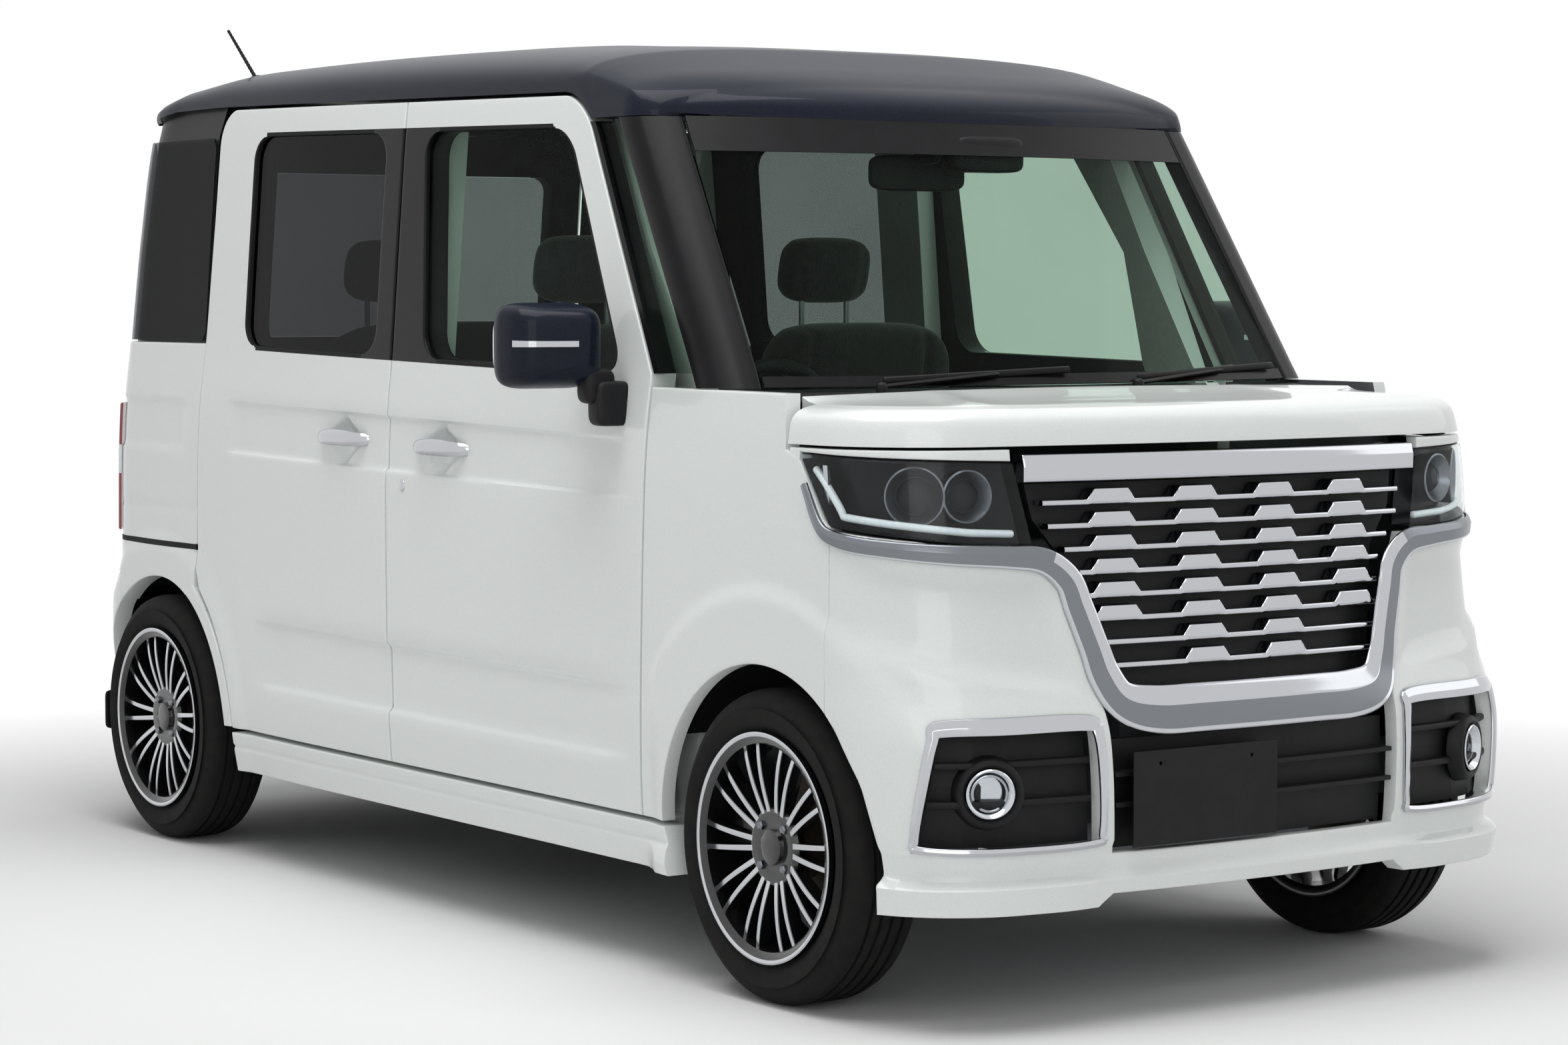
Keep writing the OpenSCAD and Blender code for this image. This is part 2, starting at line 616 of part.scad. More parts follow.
module front_bumper() color(pearl_white) {
  heights = function(s) [
    bumper_bottom, bumper_bottom + 45, bumper_bottom + 92, fog_low, mix(fog_low, fog_top, 0.5), fog_top,
    chin_z, mix(chin_z, lamp_low(s), 0.5), lamp_low(s) - 6
  ];
  edge = function(z) nose_run(front_axle_y - max(201, chord(arch_radius, z)), z);
  // Runs at which the heights of the columns are taken
  end_run = edge(lamp_z + 25);
  stations = concat([0, 170, 340, 372, 520], [for (j = [0:4]) mix(690, end_run, j / 4)]);
  last = len(stations) - 1;
  mark = function(i, j)
    let (z = heights(stations[j])[i], g = grille_half(z), o = fog_out(z))
    j <= 2 ? [g * j / 2, z]
    : j <= 5 ? [mix(g + 30, o, (j - 3) / 2), z]
    : [mix(o, edge(z), (j - 5) / (last - 5)), z];
  columns = [for (j = [-last:last]) j];
  shell(
    [0:8], columns,
    function(i, j, d) let (m = mark(i, abs(j))) nose((j < 0 ? -1 : 1) * m[0], m[1], d),
    0, 28,
    function(i, c)
      let (j = columns[c] < 0 ? -columns[c] - 1 : columns[c])
      (j < 2 && i >= 2) || (j >= 3 && j < 5 && i >= 3 && i < 5)
  );
  both_sides() block(340, 360, beam_y - 95, beam_y, rail_top - 480, rail_top - 440);
}

module rear_bumper() color(pearl_white) {
  joint_y = rear_axle_y + 0.47 * rear_overhang + 1;
  edge = function(z) tail_run(max(joint_y, rear_axle_y + chord(arch_radius, z)), z);
  rows = [
    bumper_bottom, bumper_bottom + 50, bumper_bottom + 123, bumper_bottom + 233, rear_bumper_top - 60,
    rear_bumper_top - 30, rear_bumper_top
  ];
  shell(
    rows, [for (j = [10:-1:-10]) j],
    function(z, j, d)
      tail((j < 0 ? -1 : 1) * (abs(j) < 5 ? 540 * abs(j) / 4 : mix(540, edge(z), (abs(j) - 4) / 6)), z, d),
    0, 40
  );
  both_sides() block(200, 300, rear_y - 90, rear_y - 30, rear_floor, rear_floor + 25);
}

// Band along a path of [run, height, half width] marks on the nose, with a raised ridge
module nose_band(path, depth, ridge, closed = false) {
  coarse = len(path);
  // Marks half way between those given
  fine = concat(
    [for (i = [0:coarse - (closed ? 1 : 2)]) each [path[i], mix(path[i], path[(i + 1) % coarse], 0.5)]],
    closed ? [] : [path[coarse - 1]]
  );
  last = len(fine) - 1;
  count = len(fine);
  before = function(i) closed ? (i + count - 1) % count : max(0, i - 1);
  after = function(i) closed ? (i + 1) % count : min(last, i + 1);
  side_step = function(i)
    let (a = fine[before(i)], b = fine[after(i)], v = [b[0] - a[0], b[1] - a[1]]) [-v[1], v[0]] / norm(v);
  shell(
    [-1, 0.3, 1], [0:last],
    function(r, i, d)
      let (p = [fine[i][0], fine[i][1]] + r * fine[i][2] * side_step(i))
      nose(p[0], p[1], d == depth && abs(r) < 1 ? d - ridge : d),
    depth, -2, function(i, j) false, closed
  );
}

function mirrored(path) =
  let (n = len(path) - 1)
  concat([for (p = path) [-p[0], p[1], p[2]]], [for (i = [n:-1:0]) path[i]]);

module grille_surround() color(chrome) {
  low = chin_z - 45;
  // From the lamp's outer end along its lower edge, down beside the grille and in to the middle
  path = [
    [nose_run(front_axle_y - 132, bonnet_edge - 70), bonnet_edge - 70, 9],
    [nose_run(front_axle_y - 176, lamp_z + 34), lamp_z + 30, 12],
    [800, lamp_z + 6, 15], [700, lamp_z - 6, 16],
    [600, lamp_z - 14, 18], [500, lamp_z - 20, 20], [430, lamp_z - 28, 24], [384, lamp_z - 62, 28],
    [366, lamp_z - 110, 30], [342, low + 110, 31], [326, low + 60, 34], [296, low + 16, 38], [230, low, 42],
    [120, low - 1, 42]
  ];
  nose_band(mirrored(path), -5, 4);
  // Top bar under the bonnet
  shell(
    [bonnet_edge - 64, bonnet_edge - 40, bonnet_edge - 16], [-6:6],
    function(z, j, d) nose(458 * j / 6, z, d - (d < 0 && z == bonnet_edge - 40 ? 3 : 0)), -4, 24
  );
}

module grille_backing() color(black_plastic) {
  shell(
    [chin_z - 15, mix(chin_z, lamp_z, 0.45), lamp_z - 30, lamp_z + 40, bonnet_edge - 68], [-4:4],
    function(z, j, d) nose((grille_half(z) - 24) * j / 4, z, d), 34, 44
  );
  both_sides() block(180, 230, nose_at(lamp_z - 60) + 44, beam_y, lamp_z - 80, lamp_z - 55);
}

// Chrome bars: a strip along each row with bright blocks standing on it
module grille_bars() color(chrome) {
  step = (lamp_z + 108 - chin_z - 30) / grille_bar_count;
  for (n = [0:grille_bar_count - 1]) {
    z = chin_z + 27 + step * n;
    half = grille_half(z) - 34;
    reach = floor((half - 54) / block_pitch + 0.5);
    // Run marks along the bar: each block has a foot and a narrower head
    marks = [
      for (k = [-reach:reach - 1])
        each [for (m = [[-50, 0], [-36, 1], [36, 1], [50, 0]]) m + [(k + 0.5) * block_pitch, 0]]
    ];
    path = concat([[-half, 0]], marks, [[half, 0]]);
    shell(
      [0, 1], [0:len(path) - 1],
      function(r, j, d) nose(path[j][0], z + (r == 0 ? 0 : mix(10, bar_height, path[j][1])), d), 5, 31
    );
  }
  // Ribs behind the blocks
  for (k = [-0.5, 0.5])
    shell(
      [chin_z + 27.5, mix(chin_z, lamp_z, 0.6), chin_z + 30 + step * (grille_bar_count - 1)], [-14, 14],
      function(z, x, d) nose(k * block_pitch + x, z, d), 24, 36
    );
}

module lower_intake() color(black_plastic) {
  shell(
    [bumper_bottom + 96, mix(fog_low, fog_top, 0.4), chin_z - 94], [-4:4],
    function(z, j, d) nose((grille_half(z) - 6) * j / 4, z, d), 34, 46
  );
  for (k = [0.28, 0.52])
    shell(
      [0, 8], [-4:4],
      function(h, j, d) let (z = mix(fog_low, fog_top, k) + h) nose((grille_half(z) - 8) * j / 4, z, d), 6, 36
    );
  both_sides() {
    shell(
      [fog_low + 5, mix(fog_low, fog_top, 0.5), fog_top - 5], [0:4],
      function(z, j, d) nose(mix(grille_half(z) + 36, fog_out(z) - 4, j / 4), z, d), 30, 40
    );
    block(150, 200, nose_at(fog_low + 90) + 46, beam_y - 0.1, rail_top - 480, rail_top - 440);
    block(420, 450, nose(435, fog_low + 80, 34)[1], beam_y - 0.1, rail_top - 480, rail_top - 440);
  }
}

// Blank number plate on a carrier in the lower intake, with two screw holes
plate_x = -137;
plate_z = mix(fog_low, fog_top, 0.33);
plate_holes = 210;
plate_hole_radius = 3.5;
module front_plate() color(black_plastic) {
  y = front_y - 1;
  difference() {
    union() {
      block(plate_x - 165, plate_x + 165, y + 1, y + 4, plate_z - 80, plate_z + 85);
      for (x = [plate_x - 105, plate_x + 105])
        block(x - 14, x + 14, y + 3, nose(x, plate_z + 64, 40)[1], plate_z + 53, plate_z + 75);
    }
    for (k = [-1, 1])
      translate([plate_x + k * plate_holes / 2, y - 5, plate_z + 62]) rotate([-90, 0, 0])
        cylinder(h = 30, r = plate_hole_radius);
  }
}

module fog_bezels() color(chrome) both_sides() {
  mid = mix(fog_low, fog_top, 0.5);
  rim = function(s, z) [s, z, 9];
  nose_band(
    [
      rim(grille_half(fog_low) + 44, fog_low + 4), rim(540, fog_low + 1), rim(690, fog_low + 6),
      rim(704, fog_low + 24), rim(692, mid), rim(672, fog_top - 26), rim(654, fog_top - 6),
      rim(520, fog_top - 2),
      rim(grille_half(fog_top) + 40, fog_top - 6), rim(grille_half(fog_top) + 26, fog_top - 26),
      rim(grille_half(mid) + 24, mid), rim(grille_half(fog_low) + 28, fog_low + 24)
    ],
    -5, 3, true
  );
}

module front_lamps() color(clear_glass) both_sides() {
  inner = function(z) line(z, [[lamp_z - 4, 446], [bonnet_edge - 31, 476]]);
  end_run = lamp_end();
  tail_low = nose_run(front_axle_y - 194, lamp_z + 38);
  low = function(s)
    s < tail_low ? lamp_low(s) + 2
    : mix(lamp_z + 38, bonnet_edge - 26, (s - tail_low) / (end_run - tail_low));
  cols = concat([for (j = [0:6]) mix(474, tail_low, j / 6)], [mix(tail_low, end_run, 0.5), end_run]);
  shell(
    [0, 0.5, 1], cols,
    function(r, s, d)
      let (z = mix(low(s), lamp_top(s), r)) nose(s == 474 ? inner(z) : s, z, d),
    1, 45
  );
  // Fog lamp in the lower recess
  c = nose(575, mix(fog_low, fog_top, 0.45), 0);
  translate([c[0] - 4, c[1] + 6, c[2]]) rotate([-90, 0, 25]) cylinder(h = 22, r = 40);
  // Bracket to the upper rail
  block(
    floor_half - 34, floor_half - 10, nose(570, lamp_z + 60, 45)[1] - 3, front_y + 198,
    lamp_z + 6, lamp_z + 26
  );
}

module tail_lamps() color(red_lens) both_sides() {
  shell(
    [rear_bumper_top + 100, rear_bumper_top + 220, rear_bumper_top + 400], [4, 3, 2, 1, 0],
    function(z, j, d) tail(tailgate_half + 24 + 23 * j, z, d), -10, -4
  );
}

module side_skirts() color(pearl_white) both_sides() {
  rear_end = rear_axle_y - arch_radius - 48;
  shell(
    [skirt_bottom, skirt_bottom + 45, sill_height - 2], [0:6],
    function(z, j, d)
      let (f = front_axle_y + 285 + 30 * (z - skirt_bottom) / 90)
      side(mix(f, rear_end, j / 6), z, d),
    -4, 46
  );
  for (y = [door_y + 150, post_y, rear_end - 150])
    block(sill_half, half_at(floor_height + 20) - 40, y - 15, y + 15, floor_height + 10, floor_height + 40);
}

module front_glass() color(clear_glass) {
  shell(
    [cowl_height + 4, cowl_height + 160, cowl_height + 330, frame_top - 46], [-6:6],
    function(z, j, d) screen((pillar_start(z) - 34) * j / 6, z, d), 3, 3 + glass
  );
  both_sides() shell(
    [belt_height + 4, mix(belt_height, window_top, 0.5), window_top - 40, frame_top - brow_drop - 10], [0, 1],
    function(z, j, d) side(mix(pillar_side_y(z) + 26, door_front(z) - 27, j), z, d), 8, 8 + glass
  );
}

module a_pillars() color(black_plastic) both_sides() {
  shell(
    [cowl_height + 2, cowl_height + 130, cowl_height + 260, cowl_height + 390, frame_top - 46], [0:6],
    function(z, j, d) pillar(mix(pillar_start(z) - 30, pillar_run(pillar_side_y(z) + 22, z), j / 6), z, d),
    0.5, 42
  );
  shell(
    [belt_height + 2, mix(belt_height, window_top, 0.5), window_top - 34, frame_top - brow_drop - 6], [0, 1],
    function(z, j, d) side(door_front(z) - mix(24, panel_gap + 1, j), z, d), 1, 40
  );
}

// Tailgate hinge line: open slots in the spoiler over brackets of the roof
lid_hinge = [roof_rear_y + 70, frame_top + 48];
lid_hinge_x = 250;
lid_eye = hinge_pin + 5;

module roof_panel() color(night_blue) {
  // Places of the cross sections along the side of the car
  marks = concat(
    [for (k = [0, 0.03, 0.12, 0.3, 0.6, 1]) roof_front(1) + k * brow_length],
    [for (row = apron_lines) if (row[0] < slide_y) row[0]],
    [for (k = [0.08, 0.28, 0.55, 0.77, 0.87, 0.94, 1]) mix(door_corner_y, roof_rear_y, k)]
  );
  rows = [for (y = marks) (y - marks[0]) / (roof_rear_y - marks[0])];
  cols = [-1, -0.985, -0.95, -0.88, -0.7, -0.4, 0, 0.4, 0.7, 0.88, 0.95, 0.985, 1];
  shell(
    rows, cols, function(v, u, d) roof(u, mix(roof_front(u), roof_rear_y, v), d), 0, 1
  );
  both_sides() difference() {
    union() {
      rod_x(lid_hinge_x - 14, lid_hinge_x + 14, lid_hinge[0], lid_hinge[1], lid_eye);
      across(lid_hinge_x - 14, lid_hinge_x + 14) polygon([
        [roof_rear_y - 6, lid_hinge[1] - 8], [lid_hinge[0], lid_hinge[1] - lid_eye],
        [lid_hinge[0], lid_hinge[1] + lid_eye], [roof_rear_y - 6, lid_hinge[1] + 14]
      ]);
    }
    rod_x(lid_hinge_x - 20, lid_hinge_x + 20, lid_hinge[0], lid_hinge[1], hinge_pin + running_play);
  }
}

// Bonnet: a skirt round the nose that rolls over into the top
bonnet_half = half_at(cowl_height) - 60;
bonnet_hinge = [bonnet_rear_y - 6, cowl_height - 17];
bonnet_eye_x = 540;
module bonnet() color(pearl_white) {
  // Rows: height above the lower edge, depth inside the nose ring, share of the way to the rear edge
  rows = [
    [0, 0, 0], [35, 3, 0], [50, 10, 0], [60, 26, 0], [66, 52, 0], [70, 60, 0.3], [76, 60, 0.65],
    [cowl_height - bonnet_edge, 60, 1]
  ];
  side_y = front_axle_y - 66 - panel_gap;
  skin = function(i, u, e)
    let (
      r = rows[i],
      z = bonnet_edge + r[0],
      s = nose_run(side_y, z),
      p = nose(u * s, z, r[1] + e * (i < 3 ? 1 : i < 5 ? 0.6 : 0)),
      q = [u * bonnet_half, bonnet_rear_y, z - 8 * u * u],
      drop = e * (i < 3 ? 0 : i < 5 ? 0.8 : 1)
    )
    mix(p, q, r[2]) - [0, 0, drop];
  difference() {
    shell([0:7], [for (j = [-10:10]) j / 10], skin, 0, 22);
    both_sides() block(
      bonnet_eye_x - 22, bonnet_eye_x + 22, bonnet_rear_y - 20, bonnet_rear_y + 10,
      cowl_height - 60, cowl_height + 10
    );
  }
  both_sides() {
    rod_x(bonnet_eye_x - 30, bonnet_eye_x + 30, bonnet_hinge[0], bonnet_hinge[1], hinge_pin);
    for (k = [-30, 22])
      rod_x(bonnet_eye_x + k, bonnet_eye_x + k + 8, bonnet_hinge[0], bonnet_hinge[1], hinge_pin + 3);
  }
}

module cowl() color(black_plastic) {
  half = half_at(cowl_height) - 62;
  lip = function(r, j, d)
    let (x = half * j / 6)
    r == 0 ? [x, bonnet_rear_y + 18, cowl_height - 18 - d]
    : [x, screen_y(cowl_height) + screen_crown * x * x - 4, cowl_height - 6 - d];
  shell([0, 1], [-6:6], lip, 0, 40);
  both_sides() difference() {
    union() {
      rod_x(bonnet_eye_x - 18, bonnet_eye_x + 18, bonnet_hinge[0], bonnet_hinge[1], hinge_pin + 4);
      block(
        bonnet_eye_x - 18, bonnet_eye_x + 18, bonnet_hinge[0], bonnet_rear_y + 30,
        bonnet_hinge[1] - 8, bonnet_hinge[1] - 2
      );
    }
    rod_x(bonnet_eye_x - 30, bonnet_eye_x + 30, bonnet_hinge[0], bonnet_hinge[1], hinge_pin + running_play);
  }
}

// Tailgate with a window, a roof spoiler on its upper edge and a plate recess with two screw holes
gate_plate_z = rear_bumper_top + 150;
module tailgate() color(pearl_white) {
  low = rear_bumper_top + panel_gap + 2;
  rows = [
    low, rear_bumper_top + 100, rear_bumper_top + 250, rear_bumper_top + 400, belt_height - 30,
    belt_height + 40, belt_height + 240, window_top - 20, frame_top + 15
  ];
  difference() {
    union() {
      shell(
        rows, [for (j = [4:-1:-4]) j],
        function(z, j, d)
          tail(sign(j) * [0, 260, tailgate_half - 100, tailgate_half - 40, tailgate_half][abs(j)], z, d),
        0, 50, function(i, c) i >= 5 && i < 7 && c >= 2 && c < 6
      );
      shell(
        [roof_rear_y + 11, roof_rear_y + 60, roof_rear_y + 110, roof_rear_y + 150],
        [-0.9, -0.8, -0.5, -0.2, 0.2, 0.5, 0.8, 0.9],
        function(y, u, d) roof(u, y, 0) - [0, 0, d * (1.4 - (y - roof_rear_y) / 150)], 0, 42
      );
      block(
        -190, 190, tail_at(gate_plate_z) - 30, tail_at(gate_plate_z) + 3, gate_plate_z - 95, gate_plate_z + 95
      );
    }
    both_sides() block(
      lid_hinge_x - 18, lid_hinge_x + 18, roof_rear_y, lid_hinge[0] + 16, lid_hinge[1] - 60, lid_hinge[1] + 80
    );
    for (k = [-1, 1])
      translate([k * plate_holes / 2, tail_at(gate_plate_z) - 20, gate_plate_z + 62]) rotate([-90, 0, 0])
        cylinder(h = 40, r = plate_hole_radius);
  }
  both_sides() rod_x(lid_hinge_x - 26, lid_hinge_x + 26, lid_hinge[0], lid_hinge[1], hinge_pin);
}

module tailgate_glass() color(dark_glass) {
  half = tailgate_half - 100.6;
  shell(
    [belt_height + 40.6, belt_height + 240, window_top - 20.6], [for (j = [4:-1:-4]) j],
    function(z, j, d) tail(half * j / 4, z, d), 8, 8 + glass
  );
}

// Door mirror: a foot with a stud into the door, a rounded head and a pocket for its glass
module left_mirror() {
  x0 = side(door_y + 85, belt_height - 60, 0)[0];
  y0 = door_y + 62;
  z0 = belt_height - 25;
  block(x0 - 14, x0 + 64, y0, y0 + 45, z0 - 74, z0 + 12);
  difference() {
    intersection() {
      across(x0 + 28, x0 + 190) polygon([
        [y0, z0 + 40], [y0 + 14, z0 + 8], [y0 + 40, z0], [y0 + 120, z0 - 2], [y0 + 150, z0 + 16],
        [y0 + 150, z0 + 140], [y0 + 120, z0 + 156], [y0 + 60, z0 + 150], [y0 + 14, z0 + 112]
      ]);
      translate([0, 0, z0 - 20]) linear_extrude(200) polygon([
        [x0 + 32, y0 + 130], [x0 + 30, y0 + 30], [x0 + 44, y0 + 8], [x0 + 72, y0 + 4], [x0 + 124, y0 + 34],
        [x0 + 168, y0 + 88], [x0 + 186, y0 + 132], [x0 + 180, y0 + 142], [x0 + 150, y0 + 146],
        [x0 + 50, y0 + 144]
      ]);
    }
    block(x0 + 46, x0 + 170, y0 + 136, y0 + 160, z0 + 18, z0 + 132);
  }
}
module mirror_left() color(night_blue) left_mirror();
module mirror_right() color(night_blue) mirror([1, 0, 0]) left_mirror();

module wipers() color(black_plastic) {
  for (x = [-420, 160]) {
    base = [x, screen_y(cowl_height) + screen_crown * x * x - 22, cowl_height - 20];
    blade = [for (k = [20, 430]) screen(x + k, cowl_height + 44, 0) - [0, 14, 0]];
    translate(base) cylinder(h = 46, r = 9);
    hull() {
      translate(base + [0, 0, 42]) sphere(r = 6, $fn = 8);
      translate(mix(blade[0], blade[1], 0.8)) sphere(r = 5, $fn = 8);
    }
    hull() for (p = blade) translate(p) sphere(r = 5, $fn = 8);
  }
}

module antenna() color(black_plastic) {
  p = roof(-0.68, roof_rear_y - 190, 0);
  translate(p - [0, 0, 12]) cylinder(h = 30, r = 16);
  translate(p) rotate([-50, 0, 0]) cylinder(h = 210, r = 4.5);
}

// Platform: floor, kick-up over the rear axle, bulkhead with the plenum tray, front rails and bumper beam
tray_top = cowl_height - 58;
module floor_pan() color(steel) {
  kick_y = rear_axle_y - 420;
  across(-floor_half, floor_half) polygon([
    [door_y - 12, floor_height], [kick_y, floor_height], [kick_y, floor_top], [door_y - 12, floor_top]
  ]);
  across(8 - floor_half, floor_half - 8) polygon([
    [door_y - 12, floor_height], [door_y + 13, floor_height], [door_y + 13, tray_top],
    [bonnet_rear_y + 22, tray_top], [bonnet_rear_y + 22, tray_top - 18], [door_y - 12, tray_top - 18]
  ]);
  across(50 - floor_half, floor_half - 50) polygon([
    [kick_y - 1, floor_height], [kick_y + 120, floor_height], [kick_y + 200, rear_floor],
    [rear_y - 90, rear_floor], [rear_y - 90, rear_floor + 25], [kick_y + 184, rear_floor + 25],
    [kick_y + 104, floor_top], [kick_y - 1, floor_top]
  ]);
  both_sides() {
    block(290, 370, beam_y + 1, door_y - 11, floor_height + 120, floor_height + 220);
    block(floor_half - 40, floor_half, front_y + 198, door_y - 11, rail_top - 60, rail_top);
    block(floor_half - 40, floor_half - 8, door_y - 60, door_y - 1, rail_top - 60, rail_top);
    block(180, 230, beam_y, beam_y + 30, floor_height + 120, lamp_z - 50);
  }
  block(-470, 470, beam_y, beam_y + 30, floor_height + 120, floor_height + 220);
}

// Steering column: centre of the wheel and tilt of the column
wheel_centre = [-310, door_y + 250, cowl_height - 130];
column_tilt = -65;
column_radius = 18;
module on_column() translate(wheel_centre) rotate([column_tilt, 0, 0]) children();

module dashboard() color(fabric) difference() {
  across(-575, 575) polygon([
    [door_y + 13, cowl_height - 330], [door_y + 13, tray_top], [front_y + 640, tray_top],
    [front_y + 640, cowl_height - 34], [door_y + 40, cowl_height - 4], [door_y + 140, cowl_height - 40],
    [door_y + 170, cowl_height - 160], [door_y + 120, cowl_height - 330], [door_y + 60, cowl_height - 400]
  ]);
  on_column() translate([0, 0, -170]) cylinder(h = 170, r = column_radius + running_play);
}

// Seat section: cushion and back, drawn from the hip point
module seat_shape(width, y0, depth) {
  // Rows: share of the depth behind the hip point, height
  outline = [
    [-0.69, 500], [-0.705, 590], [-0.645, 630], [-0.03, 600], [0.16, 1190], [0.22, 1205], [0.295, 1190],
    [0.22, 700], [0.175, 480], [0.13, 420], [-0.56, 420]
  ];
  across(-width / 2, width / 2) polygon([for (p = outline) [y0 + p[0] * depth, p[1]]]);
}

module head_rest(x, y0, depth) {
  y = y0 + 0.235 * depth;
  across(x - 125, x + 125) polygon([[y - 50, 1230], [y - 32, 1380], [y + 28, 1390], [y + 52, 1240]]);
  for (k = [-60, 60]) translate([x + k, y, 1150]) cylinder(h = 120, r = 6);
}

module front_seats() color(fabric) both_sides() {
  hip = post_y - 0.267 * front_door_length;
  depth = 0.7 * front_door_length;
  translate([310, 0, 0]) {
    seat_shape(500, hip, depth);
    head_rest(0, hip, depth);
    block(-190, 190, hip - 0.53 * depth, hip + 0.1 * depth, floor_top, 421);
  }
}

module rear_bench() color(fabric) {
  hip = slide_y - 0.28 * sliding_door_length;
  depth = 0.76 * sliding_door_length;
  seat_shape(1060, hip, depth);
  both_sides() head_rest(270, hip, depth);
  block(-480, 480, hip - 0.5 * depth, hip + 0.03 * depth, floor_top, 421);
}

module engine() color(steel) {
  block(-280, 280, front_y + 190, door_y - 150, floor_height + 35, lamp_z - 30);
  both_sides()
    block(279.5, 289.9, front_axle_y - 40, front_axle_y + 40, floor_height + 140, floor_height + 200);
}

module fuel_tank() color(black_plastic) {
  block(-420, 300, mix(door_y, slide_y, 0.46), mix(door_y, slide_y, 0.75), floor_height - 65, floor_height);
}

module exhaust() color(steel) {
  low = floor_height - 55;
  translate([340, rear_y - 20, low + 10]) rotate([90, 0, 0]) difference() {
    cylinder(h = 200, r = 20);
    translate([0, 0, -1]) cylinder(h = 120, r = 17.5);
  }
  block(120, 480, rear_y - 330, rear_y - 180, low, low + 140);
  block(290, 310, rear_y - 265, rear_y - 245, low + 139, rear_floor);
}

// Steering axis of a front wheel: leans inward from the ball joint to the strut top
king_low = [wheel_x - 88, front_axle_y, wheel_z - 90];
king_lean = 6.5;
module on_king_axis() translate(king_low) rotate([0, -king_lean, 0]) children();

module front_suspension() color(steel) both_sides() {
  on_king_axis() {
    translate([0, 0, -22]) cylinder(h = 60, r = 9);
    translate([0, 0, -30]) cylinder(h = 14, r = 20);
    translate([0, 0, 480]) cylinder(h = 150, r = 11);
    translate([0, 0, 600]) cylinder(h = 24, r = 52);
  }
  block(300, king_low[0] + 12, front_axle_y - 30, front_axle_y + 30, king_low[2] - 32, king_low[2] - 14);
  block(290, 370, front_axle_y - 60, front_axle_y + 60, king_low[2] - 40, floor_height + 120);
  block(450, floor_half - 40, front_axle_y - 45, front_axle_y + 45, rail_top - 55, rail_top - 38);
}

module left_knuckle() {
  difference() {
    union() {
      on_king_axis() {
        cylinder(h = 40, r = 20);
        translate([0, 0, 190]) cylinder(h = 330, r = 24);
      }
      block(
        king_low[0] - 26, king_low[0] + 14, front_axle_y - 24, front_axle_y + 24,
        king_low[2] + 6, king_low[2] + 215
      );
      rod_x(king_low[0] - 10, wheel_x + 36, front_axle_y, wheel_z, spindle_radius);
      rod_x(king_low[0] - 20, king_low[0] + 25, front_axle_y, wheel_z, 45);
    }
    on_king_axis() {
      translate([0, 0, -5]) cylinder(h = 44, r = 9 + running_play);
      translate([0, 0, 470]) cylinder(h = 60, r = 11 + running_play);
    }
  }
}
module knuckle_left() color(steel) left_knuckle();
module knuckle_right() color(steel) mirror([1, 0, 0]) left_knuckle();

// Twist-beam axle below the floor
module rear_axle() color(steel) {
  low = floor_height - 60;
  block(-500, 500, rear_axle_y - 190, rear_axle_y - 120, low + 5, low + 70);
  both_sides() {
    block(440, 500, rear_axle_y - 400, rear_axle_y + 60, low, low + 50);
    block(440, 500, rear_axle_y - 400, rear_axle_y - 340, low + 40, floor_height);
    block(440, 500, rear_axle_y - 45, rear_axle_y + 60, low + 40, wheel_z + 49);
    rod_x(490, wheel_x + 36, rear_axle_y, wheel_z, spindle_radius);
    rod_x(490, 560, rear_axle_y, wheel_z, 45);
    translate([470, rear_axle_y + 35, wheel_z + 40]) cylinder(h = rear_floor - wheel_z - 40, r = 22);
  }
}

// Arch-shaped liners over the wheels; the front ones leave room for the strut, the rear ones close the side
module liner(x0, x1, low, reach) {
  across(x0, x1) translate([0, wheel_z]) intersection() {
    difference() {
      circle(r = arch_radius + 29);
      circle(r = arch_radius + 24);
    }
    translate([-400, low]) square([400 + reach, 400]);
  }
}

module wheel_liners() color(black_plastic) both_sides() {
  translate([0, front_axle_y, 0]) difference() {
    liner(370, body_width / 2 - 45, 170, 400);
    block(455, 565, -60, 60, wheel_z + 280, wheel_z + 400);
  }
  translate([0, rear_axle_y, 0]) {
    liner(floor_half - 50, body_width / 2 - 67, 60, 205);
    across(floor_half - 50, floor_half - 46) translate([0, wheel_z]) intersection() {
      circle(r = arch_radius + 26);
      translate([-400, 60]) square([605, 400]);
    }
  }
}

// Tyre section: radius and half width
module left_tyre(y) {
  r = tyre_diameter / 2;
  b = rim_diameter / 2;
  h = tyre_width / 2;
  translate([wheel_x, y, wheel_z]) rotate([0, 90, 0]) rotate_extrude($fn = 64) polygon([
    [b - 14, -h + 22], [b + 2, -h + 12], [b + 30, -h + 1], [b + 42, -h], [r - 24, -h + 8], [r - 7, -h + 20],
    [r, -h + 42], [r, h - 42], [r - 7, h - 20], [r - 24, h - 8], [b + 42, h], [b + 30, h - 1],
    [b + 2, h - 12],
    [b - 14, h - 22]
  ]);
}
module tyre_front_left() color(rubber) left_tyre(front_axle_y);
module tyre_front_right() color(rubber) mirror([1, 0, 0]) left_tyre(front_axle_y);
module tyre_rear_left() color(rubber) left_tyre(rear_axle_y);
module tyre_rear_right() color(rubber) mirror([1, 0, 0]) left_tyre(rear_axle_y);

